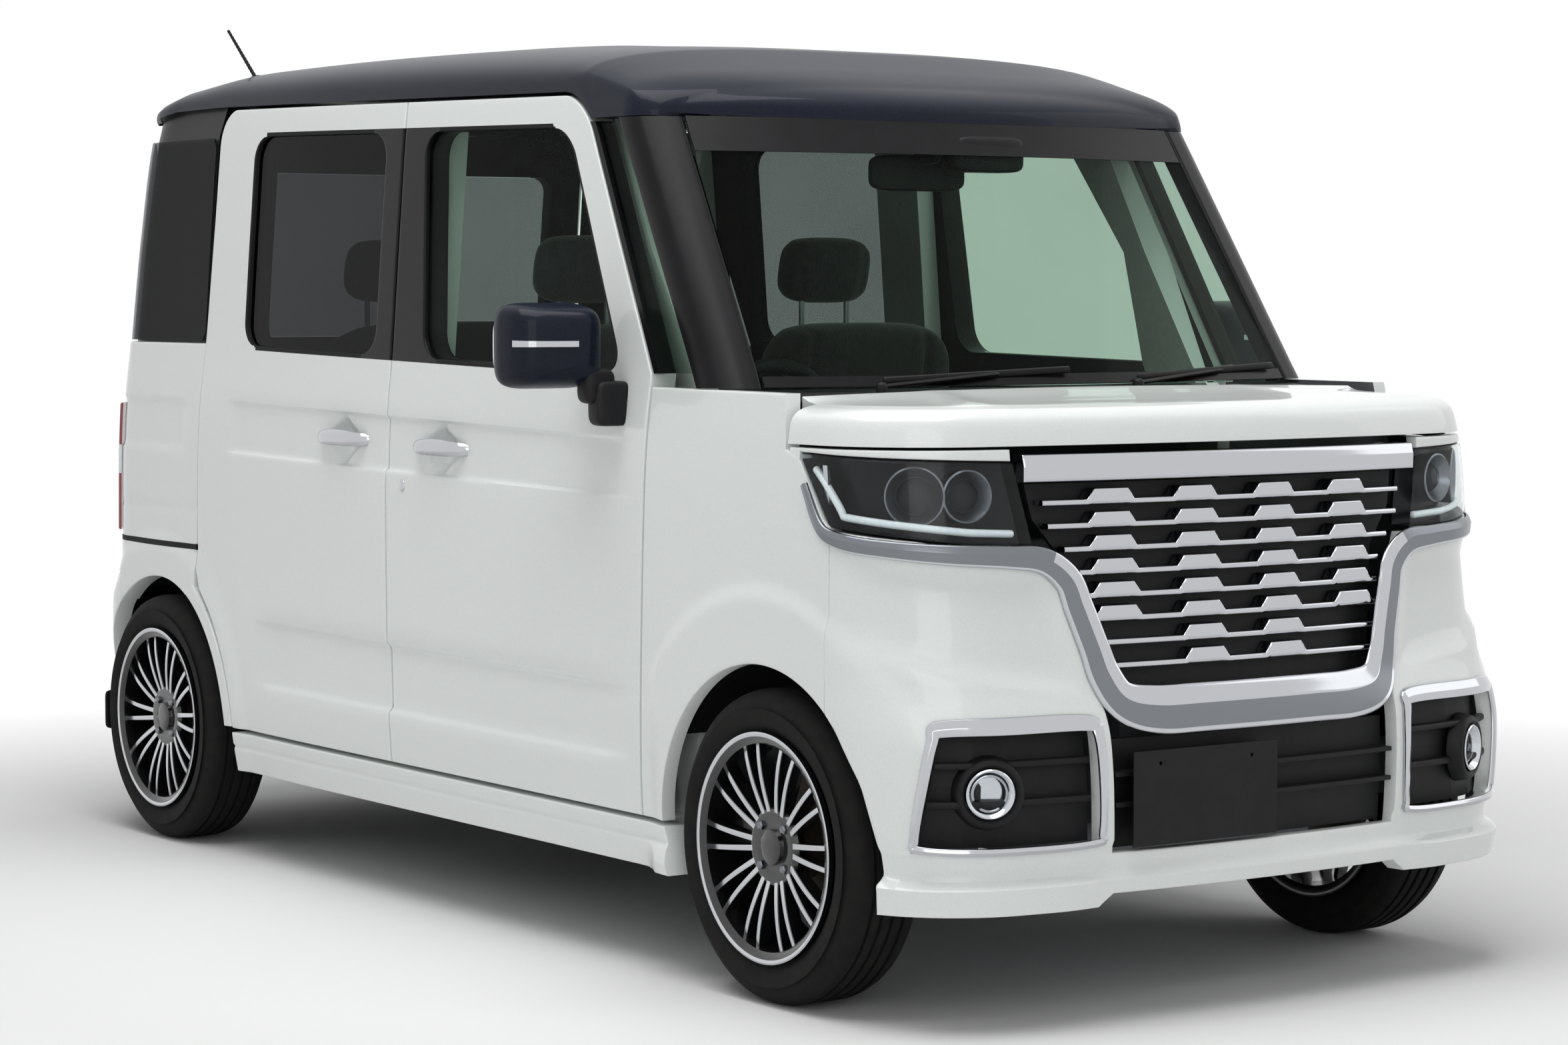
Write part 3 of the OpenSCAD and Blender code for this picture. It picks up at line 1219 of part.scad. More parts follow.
// Alloy wheel: barrel, hub disc with four nut seats, plain cap and paired spokes
module left_rim(y) {
  b = rim_diameter / 2;
  h = tyre_width / 2;
  face = 37;
  translate([wheel_x, y, wheel_z]) rotate([0, 90, 0]) {
    rotate_extrude($fn = 64) polygon([
      [b - 14.5, -h + 10], [b - 1, -h + 10], [b - 1, -h + 2], [b - 22, -h + 8], [b - 26, -20], [b - 24, 40],
      [b - 22, h - 4], [b - 1, h - 1], [b - 1, h - 10], [b - 14.5, h - 10], [b - 14.5, h - 30], [b - 17, 30],
      [b - 17, -30], [b - 14.5, -h + 30]
    ]);
    difference() {
      translate([0, 0, face]) cylinder(h = 22, r = 74);
      for (a = [45:90:315]) rotate(a) translate([50, 0, face + 8]) cylinder(h = 20, r = 12);
    }
    translate([0, 0, face + 20]) cylinder(h = 8, r = 30);
    for (n = [0:spoke_pairs - 1]) rotate(360 / spoke_pairs * n) for (k = [-1, 1])
      translate([0, 0, face + 6]) linear_extrude(18) polygon([
        [60, k * 9 - 5], [b - 20, k * 20 - 6], [b - 20, k * 20 + 6], [60, k * 9 + 5]
      ]);
  }
}
module rim_front_left() color(steel) left_rim(front_axle_y);
module rim_front_right() color(steel) mirror([1, 0, 0]) left_rim(front_axle_y);
module rim_rear_left() color(steel) left_rim(rear_axle_y);
module rim_rear_right() color(steel) mirror([1, 0, 0]) left_rim(rear_axle_y);

module left_hub(y, radius) {
  inner_x = -30;
  translate([wheel_x, y, wheel_z]) rotate([0, 90, 0]) difference() {
    union() {
      translate([0, 0, inner_x]) cylinder(h = 37 - inner_x, r = 62);
      translate([0, 0, inner_x]) cylinder(h = 14, r = radius);
    }
    translate([0, 0, -100]) cylinder(h = 200, r = spindle_radius + running_play);
  }
}
module hub_front_left() color(steel) left_hub(front_axle_y, 118);
module hub_front_right() color(steel) mirror([1, 0, 0]) left_hub(front_axle_y, 118);
module drum_rear_left() color(steel) left_hub(rear_axle_y, 100);
module drum_rear_right() color(steel) mirror([1, 0, 0]) left_hub(rear_axle_y, 100);

module steering_wheel() color(fabric) {
  on_column() {
    rotate_extrude($fn = 48) translate([178, 0]) circle(r = 15);
    cylinder(h = 40, r = 48, center = true);
    for (a = [0, 180, 270]) rotate(a) translate([30, -18, -10]) cube([140, 36, 16]);
    translate([0, 0, -150]) cylinder(h = 140, r = column_radius);
  }
}

floor_pan();
body_sides();
roof_panel();
cowl();
a_pillars();
fenders();
front_bumper();
rear_bumper();
grille_backing();
grille_bars();
grille_surround();
lower_intake();
front_plate();
fog_bezels();
front_lamps();
tail_lamps();
side_skirts();
front_glass();
privacy_glass();
sliding_doors();
wipers();
antenna();
front_seats();
rear_bench();
dashboard();
engine();
fuel_tank();
exhaust();
front_suspension();
rear_axle();
wheel_liners();
bonnet();
door_left();
door_right();
door_glass_left();
door_glass_right();
mirror_left();
mirror_right();
tailgate();
tailgate_glass();
tyre_front_left();
tyre_front_right();
tyre_rear_left();
tyre_rear_right();
rim_front_left();
rim_front_right();
rim_rear_left();
rim_rear_right();
hub_front_left();
hub_front_right();
drum_rear_left();
drum_rear_right();
knuckle_left();
knuckle_right();
steering_wheel();
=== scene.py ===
"""Looks of a tall two-tone microvan: painted panels, glass, bright trim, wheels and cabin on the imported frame."""

import math

import bmesh
import bpy
import numpy as np
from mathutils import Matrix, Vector
from bpy.props import FloatProperty, FloatVectorProperty, IntProperty, PointerProperty


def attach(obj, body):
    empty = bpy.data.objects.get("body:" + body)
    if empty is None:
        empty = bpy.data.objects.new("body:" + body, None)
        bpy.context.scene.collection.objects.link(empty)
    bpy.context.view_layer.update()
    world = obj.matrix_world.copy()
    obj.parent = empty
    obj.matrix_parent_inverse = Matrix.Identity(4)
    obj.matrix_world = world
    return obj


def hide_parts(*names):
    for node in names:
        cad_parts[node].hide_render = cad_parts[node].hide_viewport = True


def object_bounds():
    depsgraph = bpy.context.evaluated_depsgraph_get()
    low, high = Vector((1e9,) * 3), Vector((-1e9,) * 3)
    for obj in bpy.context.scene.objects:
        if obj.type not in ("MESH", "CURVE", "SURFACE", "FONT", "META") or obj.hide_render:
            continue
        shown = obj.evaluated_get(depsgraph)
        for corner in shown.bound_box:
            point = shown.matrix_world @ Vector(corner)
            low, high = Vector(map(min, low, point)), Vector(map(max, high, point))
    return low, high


bl_info = {
    "name": "Microvan looks",
    "version": (1, 0, 0),
    "blender": (4, 5, 0),
    "location": "View3D > Sidebar > Microvan",
    "description": "Builds the panels, glass, trim, wheels and cabin of a tall microvan",
    "category": "Object",
}

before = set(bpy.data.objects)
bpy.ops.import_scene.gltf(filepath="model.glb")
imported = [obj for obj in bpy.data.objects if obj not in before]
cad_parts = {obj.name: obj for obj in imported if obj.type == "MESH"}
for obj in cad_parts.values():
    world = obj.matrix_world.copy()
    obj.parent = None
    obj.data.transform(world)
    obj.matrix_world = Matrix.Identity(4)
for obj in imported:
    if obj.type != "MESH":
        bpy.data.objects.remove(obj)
CAD_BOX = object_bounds()
MM = 0.001

# Sizes of the body in millimetres, the same named values as the solids
LENGTH = (CAD_BOX[1][1] - CAD_BOX[0][1]) / MM
BODY_WIDTH = 1475.0
ROOF_HEIGHT = 1775.0
FRONT_OVERHANG = 510.0
REAR_OVERHANG = 425.0
WHEEL_X = 647.5
SKIRT_BOTTOM = 195.0
FLOOR = 215.0
SILL = 284.0
BELT = 1110.0
FRAME_TOP = 1630.0
BELT_SLOPE = 0.02
BONNET_EDGE = 1000.0
COWL = 1086.0
NOSE_RADIUS = 220.0
TAIL_RADIUS = 180.0
ARCH = 326.0
GAP = 7.0
DOOR_DEPTH = 55.0
CORNER = 55.0
GLASS = 5.0
GATE_HALF = 600.0
TYRE_R = 281.0
TYRE_W = 165.0
RIM_R = 207.0
FRONT_Y = -LENGTH / 2
REAR_Y = LENGTH / 2
FRONT_AXLE = FRONT_Y + FRONT_OVERHANG
REAR_AXLE = REAR_Y - REAR_OVERHANG
WHEEL_Z = TYRE_R
DOOR_Y = FRONT_AXLE + 390
SLIDE_Y = REAR_AXLE - 205
POST_Y = DOOR_Y + 0.523 * (SLIDE_Y - DOOR_Y)
WINDOW_TOP = FRAME_TOP - 62
FRAME_DEPTH = DOOR_DEPTH + 6
FLOOR_HALF = BODY_WIDTH / 2 - 147
BUMPER_LOW = SKIRT_BOTTOM + 12
REAR_BUMPER_TOP = 600.0
ROOF_REAR = REAR_Y - 217
BONNET_REAR = FRONT_AXLE - 20
CHIN = BUMPER_LOW + 0.477 * (BONNET_EDGE - BUMPER_LOW)
LAMP = BUMPER_LOW + 0.786 * (BONNET_EDGE - BUMPER_LOW)
FOG_LOW = BUMPER_LOW + 108
FOG_TOP = BUMPER_LOW + 0.414 * (BONNET_EDGE - BUMPER_LOW)
# Handles ahead of and behind the door post, the slot of the sliding door's rail, and the rise of the belt at the rear
FRONT_HANDLE = 222
SLIDE_HANDLE = 190
RAIL_Z = 678.0
RAIL_HEIGHT = 13.0
QUARTER_LIFT = BELT_SLOPE * (SLIDE_Y + 60 - DOOR_Y)
QUARTER_JOINT = REAR_AXLE + 0.47 * REAR_OVERHANG
BONNET_PINS = (-540.0, 540.0)
GATE_PINS = (-250.0, 250.0)

# Rows: height, inset of the side from half the width
SIDE_INSET = np.array([
    [SKIRT_BOTTOM - 15, 38], [SILL, 21], [SILL + 136, 13], [SILL + 316, 10], [BELT - 230, 10], [BELT - 100, 15],
    [BELT + 20, 27], [BELT + 290, 47], [FRAME_TOP + 25, 69], [FRAME_TOP + 110, 89],
])
# Rows: height, setback of the nose and of the tail from the ends
NOSE_SETBACK = np.array([
    [BUMPER_LOW, 14], [BUMPER_LOW + 120, 0], [BUMPER_LOW + 290, 4], [CHIN, 34], [CHIN + 55, 45], [LAMP - 30, 68],
    [BONNET_EDGE - 20, 87], [BONNET_EDGE + 80, 105],
])
TAIL_SETBACK = np.array([
    [BUMPER_LOW, 12], [BUMPER_LOW + 123, 0], [REAR_BUMPER_TOP - 60, 4], [REAR_BUMPER_TOP, 36],
    [REAR_BUMPER_TOP + 300, 50], [BELT + 20, 60], [BELT + 290, 84], [FRAME_TOP + 10, 125], [ROOF_HEIGHT, 190],
])
BROW_DROP = 40.0
BROW_LENGTH = 130.0
# Rows: place, height of the foot of the roof's crown over the door frames, and rise of the crown over it
ROOF_LINES = np.array([
    [DOOR_Y - 5, -BROW_DROP], [DOOR_Y + 60, -34], [DOOR_Y + 150, -15], [DOOR_Y + 300, 6 + GAP],
    [SLIDE_Y, GAP + BELT_SLOPE * (SLIDE_Y - DOOR_Y)], [ROOF_REAR - 180, 43], [ROOF_REAR, 15 + GAP],
    [ROOF_REAR + 150, -14],
])
CROWN_LINES = np.array([
    [DOOR_Y, 52], [DOOR_Y + 150, 76], [DOOR_Y + 400, 104],
    [DOOR_Y + 0.55 * (SLIDE_Y - DOOR_Y), ROOF_HEIGHT - FRAME_TOP - 27], [SLIDE_Y, ROOF_HEIGHT - FRAME_TOP - 42],
    [ROOF_REAR - 180, 79], [ROOF_REAR, 58], [ROOF_REAR + 150, 51],
])
NOSE_CROWN = 0.00015
TAIL_CROWN = 0.00011
TAIL_TAPER = 18.0
SCREEN_CROWN = 0.00022
SCREEN_RADIUS = 70.0
SCREEN_LEAN = 0.66
ARCH_FLARE = 10.0

# Stage in metres, watts and degrees: soft boxes, half the floor, where paper turns into backdrop, light of the room,
# and the camera fitted to the photograph
SOFTBOXES = (("softbox_top", (-1.0, -1.0, 5.0), 185), ("softbox_front", (-4.0, -7.0, 3.0), 68),
             ("softbox_side", (6.0, -3.0, 4.0), 40))
SOFTBOX_SIZE = 4.0
FLOOR_SIZE = 60.0
PAPER = (1.9, 3.8)
ROOM_LIGHT = 0.3
CAMERA_SPOT = (-4.430, -6.564, 1.267)
CAMERA_TURN = (-34.9, 3.59)
CAMERA_LENS = 85.49


def mix(a, b, t):
    """Straight blend from a to b."""
    return a + (b - a) * t


def ease(t):
    """Smooth step: 3t^2 - 2t^3 held at its ends."""
    u = np.clip(t, 0, 1)
    return u * u * (3 - 2 * u)


def plateau(v, lo, hi, soft):
    """Rise to one about lo and fall to zero about hi."""
    return ease((v - lo) / soft + 0.5) * ease((hi - v) / soft + 0.5)


def curve(v, table):
    """Hermite curve through rows of place and value, with slopes from the neighbouring rows."""
    place, value = table[:, 0], table[:, 1]
    last = len(place) - 1
    lo, hi = np.maximum(np.arange(last + 1) - 1, 0), np.minimum(np.arange(last + 1) + 1, last)
    slope = (value[hi] - value[lo]) / (place[hi] - place[lo])
    v = np.asarray(v, float)
    i = np.clip(np.searchsorted(place, v, side="right") - 1, 0, last - 1)
    h = place[i + 1] - place[i]
    u = np.clip((v - place[i]) / h, 0, 1)
    return mix(value[i], value[i + 1], ease(u)) + u * (1 - u) * h * ((1 - u) * slope[i] - u * slope[i + 1])


def line(v, *rows):
    """Straight-sided lookup through rows of place and value."""
    table = np.array(rows, float)
    return np.interp(v, table[:, 0], table[:, 1])


def half_at(z):
    """Half width of the body by height."""
    return BODY_WIDTH / 2 - curve(z, SIDE_INSET)


def taper_at(y):
    """Narrowing of the body toward the rear."""
    return TAIL_TAPER * ease((y - REAR_Y + 1217) / 900)


def lift(y, z):
    """Rise of the belt and roof lines toward the rear."""
    return BELT_SLOPE * (y - DOOR_Y) * np.clip((z - SILL) / (BELT - SILL), 0, 1)


def flare(y, z):
    """Swell of the skin round the wheel openings."""
    front, rear = np.hypot(y - FRONT_AXLE, z - WHEEL_Z), np.hypot(y - REAR_AXLE, z - WHEEL_Z)
    return ARCH_FLARE * np.maximum(ease((ARCH + 150 - front) / 40) * ease((DOOR_Y - 8 - y) / 60),
                                   ease((ARCH + 112 - rear) / 50))


def pressing(y, z):
    """Depth of the two pressed panels along the doors."""
    h = z - lift(y, z)
    upper = plateau(h, BELT - 228, BELT - 122, 10) * plateau(y, DOOR_Y + 70, SLIDE_Y - 170, 60)
    lower = plateau(h, SILL + 112, SILL + 244, 16) * plateau(y, DOOR_Y + 110, SLIDE_Y - 330, 160)
    return 8 * upper + 11 * lower


def ring_slope(w, k, r):
    """Angle at which the crowned end of the plan ring meets its corner arc."""
    return np.arctan(2 * k * (w - r))


def ring_start(w, k, r):
    """Half width at which the corner arc starts."""
    return w - r * (1 - np.sin(ring_slope(w, k, r)))


def corner_y(w, end, k, r, g):
    """Place along the car at which the corner arc has turned into the side."""
    return end - g * (k * ring_start(w, k, r) ** 2 + r * np.cos(ring_slope(w, k, r)))


def ring_run(y, w, end, k, r, g):
    """Run along the plan ring, from the centre line, that reaches a place on the side."""
    near = g * (y - corner_y(w, end, k, r, g))
    x1, a = ring_start(w, k, r), ring_slope(w, k, r)
    arc = x1 + r * (np.arccos(np.clip(near / r, -1, 1)) - a)
    return np.where(near <= 0, x1 + r * (np.pi / 2 - a) - near, arc)


def ring(s, z, d, w, end, k, r, g):
    """Plan ring of the body: crowned end, corner arc and straight side, set in by a depth along its normal."""
    t = np.abs(s)
    x1, a1 = ring_start(w, k, r), ring_slope(w, k, r)
    arc = r * (np.pi / 2 - a1)
    a = np.where(t < x1, np.arctan(2 * k * t), np.minimum(np.pi / 2, a1 + (t - x1) / r))
    back = np.where(t < x1, k * t * t, k * x1 * x1 + r * (np.cos(a1) - np.cos(a)) + np.maximum(0, t - x1 - arc))
    y = end - g * back
    x = np.where(t < x1, t, x1 + r * (np.sin(a) - np.sin(a1)))
    if g > 0:
        x = x + np.where(t > x1, TAIL_TAPER - taper_at(y), 0)
    e = d - flare(y, z) * ease((t - x1) / arc)
    return np.stack([np.where(s < 0, -1, 1) * (x - e * np.sin(a)), y - g * e * np.cos(a), z + 0 * t], -1)


def nose(s, z, d):
    """Front of the body by run from the centre line, height and depth."""
    return ring(s, z, d, half_at(z), FRONT_Y + curve(z, NOSE_SETBACK), NOSE_CROWN, NOSE_RADIUS, -1)


def nose_run(y, z):
    """Run along the nose ring at a place on the side."""
    return ring_run(y, half_at(z), FRONT_Y + curve(z, NOSE_SETBACK), NOSE_CROWN, NOSE_RADIUS, -1)


def tail_end(z):
    """Rear end of the body on the centre line by height."""
    return REAR_Y - curve(z, TAIL_SETBACK)


def tail(s, z, d):
    """Rear of the body by run from the centre line, height and depth."""
    return ring(s, z, d, half_at(z) - TAIL_TAPER, tail_end(z), TAIL_CROWN, TAIL_RADIUS, 1)


def tail_run(y, z):
    """Run along the tail ring at a place on the side."""
    return ring_run(y, half_at(z) - TAIL_TAPER, tail_end(z), TAIL_CROWN, TAIL_RADIUS, 1)


def screen_y(z):
    """Windscreen on the centre line by height."""
    return FRONT_Y + 557 + SCREEN_LEAN * (z - COWL)


def screen(x, z, d):
    """Windscreen: a leaning plane crowned across the car, set in by a depth."""
    n = math.hypot(1, SCREEN_LEAN)
    return np.stack([x + 0 * z, screen_y(z) + SCREEN_CROWN * x * x + d / n, z - d * SCREEN_LEAN / n + 0 * x], -1)


def pillar(s, z, d):
    """Ring of the windscreen and its pillars."""
    return ring(s, z, d, half_at(z) - 1, screen_y(z), SCREEN_CROWN, SCREEN_RADIUS, -1)


def pillar_start(z):
    """Half width at which the pillar's corner starts."""
    return ring_start(half_at(z) - 1, SCREEN_CROWN, SCREEN_RADIUS)


def pillar_run(y, z):
    """Run along the pillar ring at a place on the side."""
    return ring_run(y, half_at(z) - 1, screen_y(z), SCREEN_CROWN, SCREEN_RADIUS, -1)


def pillar_side_y(z):
    """Place at which the pillar ring has turned into the side."""
    return corner_y(half_at(z) - 1, screen_y(z), SCREEN_CROWN, SCREEN_RADIUS, -1)


def side(y, z, d):
    """Side of the body by place and height, with the door pressings and the rear taper."""
    p = nose(nose_run(y, z), z, d + pressing(y, z))
    p[..., 0] -= taper_at(y)
    return p


def raised(y, z, d):
    """Side of the body with heights that follow the rising belt line."""
    return side(y, z + lift(y, z), d)


def roof_foot(y):
    """Foot of the roof's crown by place."""
    return FRAME_TOP + line(y, *ROOF_LINES)


def roof_edge(y):
    """Lower edge of the roof: its foot, and round the upper front corner of the door an apron below it."""
    corner = float(door_front(FRAME_TOP))
    apron = line(y, [corner - 104, -BROW_DROP], [corner - 91, -28], [corner - 65, -7], [corner - 45, 4],
                 [corner - 31, 9.5], [corner, 1 + GAP + BELT_SLOPE * (corner - DOOR_Y)],
                 [SLIDE_Y, GAP + BELT_SLOPE * (SLIDE_Y - DOOR_Y)])
    return np.where(y < SLIDE_Y, np.minimum(roof_foot(y), FRAME_TOP + apron), roof_foot(y))


def roof_front(u):
    """Front edge of the roof along the top of the windscreen."""
    return screen_y(FRAME_TOP - BROW_DROP) + SCREEN_CROWN * (u * (BODY_WIDTH / 2 - 97.5)) ** 2


def turn_in(past, r):
    """Inset of a corner arc past its start."""
    return r * (1 - np.sqrt(1 - np.clip(past / r, 0, 0.97) ** 2))


def roof_half(y):
    """Half width of the roof, turned in at its four corners."""
    z = roof_edge(y)
    w = half_at(z) - TAIL_TAPER
    rear = corner_y(w, tail_end(z), TAIL_CROWN, TAIL_RADIUS, 1)
    front = pillar_side_y(z)
    return half_at(z) - taper_at(y) - turn_in(y - rear, TAIL_RADIUS) - turn_in(front - y, SCREEN_RADIUS)


def roof(u, y, inside):
    """Roof: a cubic superellipse across the car that rolls down to the windscreen; inside is 1 on the lining."""
    crown = (1 - np.clip(np.abs(u), 0, 1) ** 3) ** (1 / 3)
    brow = (1 - (1 - np.clip((y - roof_front(u)) / BROW_LENGTH, 0, 1)) ** 3) ** (1 / 3)
    apron = np.clip((np.abs(u) - 0.985) / 0.015, 0, 1)
    z = mix(roof_foot(y), roof_edge(y), apron) + curve(y, CROWN_LINES) * crown * brow
    z = z - (6 + 29 * brow) * inside * (1 - np.abs(u) ** 8)
    return np.stack([u * (roof_half(y) - 110 * inside), y + 0 * u, z], -1)


def chord(r, z):
    """Half chord of a circle about a wheel centre at a height."""
    return np.sqrt(np.maximum(0, r * r - (z - WHEEL_Z) ** 2))


def round_off(z, lo, hi, r):
    """Inset of a rounded corner at both ends of a height range."""
    u = np.clip(np.maximum(lo + r - z, z - hi + r) / r, 0, 1)
    return r * (1 - np.sqrt(1 - u * u))


def door_front(z):
    """Front edge of the front door."""
    low = np.minimum(z, BELT) - SILL
    return DOOR_Y + 22 - 0.038 * low + 0.575 * np.maximum(0, z - BELT) + round_off(z, 0, FRAME_TOP, 70)


def door_window_front(z):
    """Front edge of the front door window."""
    return DOOR_Y + 98 + 0.52 * np.maximum(0, z - BELT) + round_off(z, BELT, WINDOW_TOP, CORNER)


def door_window_rear(z):
    """Rear edge of the front door window."""
    return POST_Y - 134 + 0.094 * np.maximum(0, z - BELT) - round_off(z, BELT, WINDOW_TOP, CORNER)


def slide_rear(z):
    """Rear edge of the sliding door: round the wheel opening, then up to the roof."""
    edge = SLIDE_Y + 8 - 30 * ease((z - SILL - 400) / 900) - round_off(z, 0, FRAME_TOP, 80)
    return np.minimum(REAR_AXLE - chord(ARCH + 45, z), edge)


def slide_window_front(z):
    """Front edge of the sliding door window."""
    return POST_Y + 74 + round_off(z, BELT, WINDOW_TOP, CORNER)


def slide_window_rear(z):
    """Rear edge of the sliding door window."""
    return SLIDE_Y - 215 - round_off(z, BELT, WINDOW_TOP, CORNER)


def grille_half(z):
    """Half width of the grille opening by height."""
    return line(z, [BUMPER_LOW + 90, 330], [CHIN - 45, 338], [CHIN - 2, 345], [LAMP - 30, 392], [LAMP, 440],
                [BONNET_EDGE - 25, 470])


def lamp_low(s):
    """Lower edge of a headlamp along the nose."""
    return LAMP + line(s, [430, -4], [560, 2], [700, 16], [900, 36])


def lamp_top(s):
    """Upper edge of a headlamp along the nose."""
    return line(s, [474, BONNET_EDGE - 31], [900, BONNET_EDGE - 18])


def lamp_end():
    """Run at which a headlamp ends on the side."""
    return nose_run(FRONT_AXLE - 112, np.array(BONNET_EDGE - 18))


def fog_out(z):
    """Outer edge of the fog lamp recess."""
    return line(z, [FOG_LOW, 712], [FOG_TOP, 664])


# Meshes as (points in mm, quads, material of each quad)
EDGE = np.array([0, 0.7, 1.6, 3.2, 9.0])


def lanes(stops, counts):
    """Columns between stops given per row: close lines at both ends of each stretch and even lines between."""
    parts = []
    for a, b, n in zip(stops[:-1], stops[1:], counts):
        a, b = np.asarray(a, float)[..., None], np.asarray(b, float)[..., None]
        scale = np.minimum(1, (b - a) / 24)
        even = np.linspace(0, 1, n + 2)[1:-1]
        parts += [a + EDGE * scale, mix(a + 9 * scale, b - 9 * scale, even), b - EDGE[:0:-1] * scale]
    return np.concatenate(parts + [np.asarray(stops[-1], float)[..., None]], -1)


def lane_start(counts, k):
    """Index of the column at stop k of lanes()."""
    return sum(n + 9 for n in counts[:k])


def roll(t, r=3.0):
    """Depth of a rounded edge at a distance from it: a quarter circle."""
    u = np.clip(1 - t / r, 0, 1)
    return r * (1 - np.sqrt(1 - u * u))


def least(*distances):
    """Smallest of several distances on one grid."""
    return np.minimum.reduce(np.broadcast_arrays(*distances))


def most(*distances):
    """Largest of several distances on one grid."""
    return np.maximum.reduce(np.broadcast_arrays(*distances))


def from_ends(v):
    """Distance of each mark from the nearer end of its run."""
    return np.minimum(v - v[0], v[-1] - v)


def solid(outer, inner, keep=None, mats=0, inner_mat=None, closed=False):
    """Closed wall between two grids of points: both faces of the kept cells and walls where a cell ends."""
    rows, cols = outer.shape[:2]
    spans = cols if closed else cols - 1
    keep = np.ones((rows - 1, spans), bool) if keep is None else keep
    mats = np.broadcast_to(np.asarray(mats, int), keep.shape)
    i, j = np.nonzero(keep)
    count = rows * cols
    nxt = (j + 1) % cols
    a = np.stack([i * cols + j, i * cols + nxt, (i + 1) * cols + nxt, (i + 1) * cols + j], -1)
    m = mats[i, j]
    back = m if inner_mat is None else np.full_like(m, inner_mat)
    quads, kinds = [a, a[:, ::-1] + count], [m, back]
    around = np.pad(keep, 1, mode="wrap" if closed else "constant")
    if closed:
        around[0] = around[-1] = False
    for di, dj, p, q in ((-1, 0, 0, 1), (1, 0, 2, 3), (0, -1, 3, 0), (0, 1, 1, 2)):
        bare = ~around[i + 1 + di, j + 1 + dj]
        quads.append(np.stack([a[bare, q], a[bare, p], a[bare, p] + count, a[bare, q] + count], -1))
        kinds.append(m[bare])
    points = np.concatenate([outer.reshape(-1, 3), inner.reshape(-1, 3)])
    return points, np.concatenate(quads), np.concatenate(kinds)


def wall(surface, a, b, depth, back, keep=None, mats=0, inner_mat=None, closed=False):
    """Closed panel on a surface of two parameters: its face at one depth and its back at another."""
    a, b, depth, back = np.broadcast_arrays(a, b, depth, back)
    return solid(surface(a, b, depth), surface(a, b, back), keep, mats, inner_mat, closed)


def grid(x, y, z):
    """Points from three coordinates that broadcast to one grid."""
    return np.stack(np.broadcast_arrays(x, y, z), -1)


def skin(points, mats=0, closed_u=False, closed_v=False):
    """Surface over one grid of points, open or closed along either parameter."""
    rows, cols = points.shape[:2]
    i, j = np.meshgrid(np.arange(rows if closed_v else rows - 1), np.arange(cols if closed_u else cols - 1),
                       indexing="ij")
    n, k = (i + 1) % rows, (j + 1) % cols
    quads = np.stack([i * cols + j, i * cols + k, n * cols + k, n * cols + j], -1).reshape(-1, 4)
    return points.reshape(-1, 3), quads, np.broadcast_to(np.asarray(mats, int), i.shape).reshape(-1)


def join(*meshes):
    """Several meshes as one."""
    start = np.cumsum([0] + [len(m[0]) for m in meshes])
    return (np.concatenate([m[0] for m in meshes]),
            np.concatenate([m[1] + s for m, s in zip(meshes, start)]),
            np.concatenate([m[2] for m in meshes]))


def mirrored(mesh):
    """The mesh on the other side of the car, with its faces turned to point outwards."""
    return mesh[0] * [-1, 1, 1], mesh[1][:, ::-1], mesh[2]


def both(mesh):
    """The mesh and its mirror image."""
    return join(mesh, mirrored(mesh))


SIDES = (("left", lambda mesh: mesh), ("right", mirrored))


def opened(mesh):
    """The mesh without pairs of faces that lie on each other, such as the walls between two joined halves."""
    points, quads, kinds = mesh
    spot = np.unique(np.round(points / 0.02), axis=0, return_inverse=True)[1].ravel()
    _, where, count = np.unique(np.sort(spot[quads], axis=1), axis=0, return_inverse=True, return_counts=True)
    lone = count[where.ravel()] == 1
    return points, quads[lone], kinds[lone]


def moved(mesh, offset):
    """The mesh shifted by an offset."""
    return mesh[0] + np.asarray(offset, float), mesh[1], mesh[2]


def painted(mesh, kind):
    """The mesh with one material number on all its quads."""
    return mesh[0], mesh[1], np.full(len(mesh[1]), kind)


def lathe(profile, steps, mats=0, closed=False):
    """Profile of rows (x along the axle, radius) turned about the X axis; a closed profile makes a ring."""
    p = np.asarray(profile, float)
    a = np.linspace(0, 2 * np.pi, steps, endpoint=False)
    along, out = p[:, :1], p[:, 1:]
    mats = np.asarray(mats)[:, None] if np.ndim(mats) else mats
    return skin(grid(along, out * np.cos(a), out * np.sin(a)), mats, closed_u=True, closed_v=closed)


def turned(mesh, angle, centre):
    """The mesh turned about the upright axis and set at a centre."""
    c, s = math.cos(angle), math.sin(angle)
    return mesh[0] @ np.array([[c, s, 0], [-s, c, 0], [0, 0, 1]]) + centre, mesh[1], mesh[2]


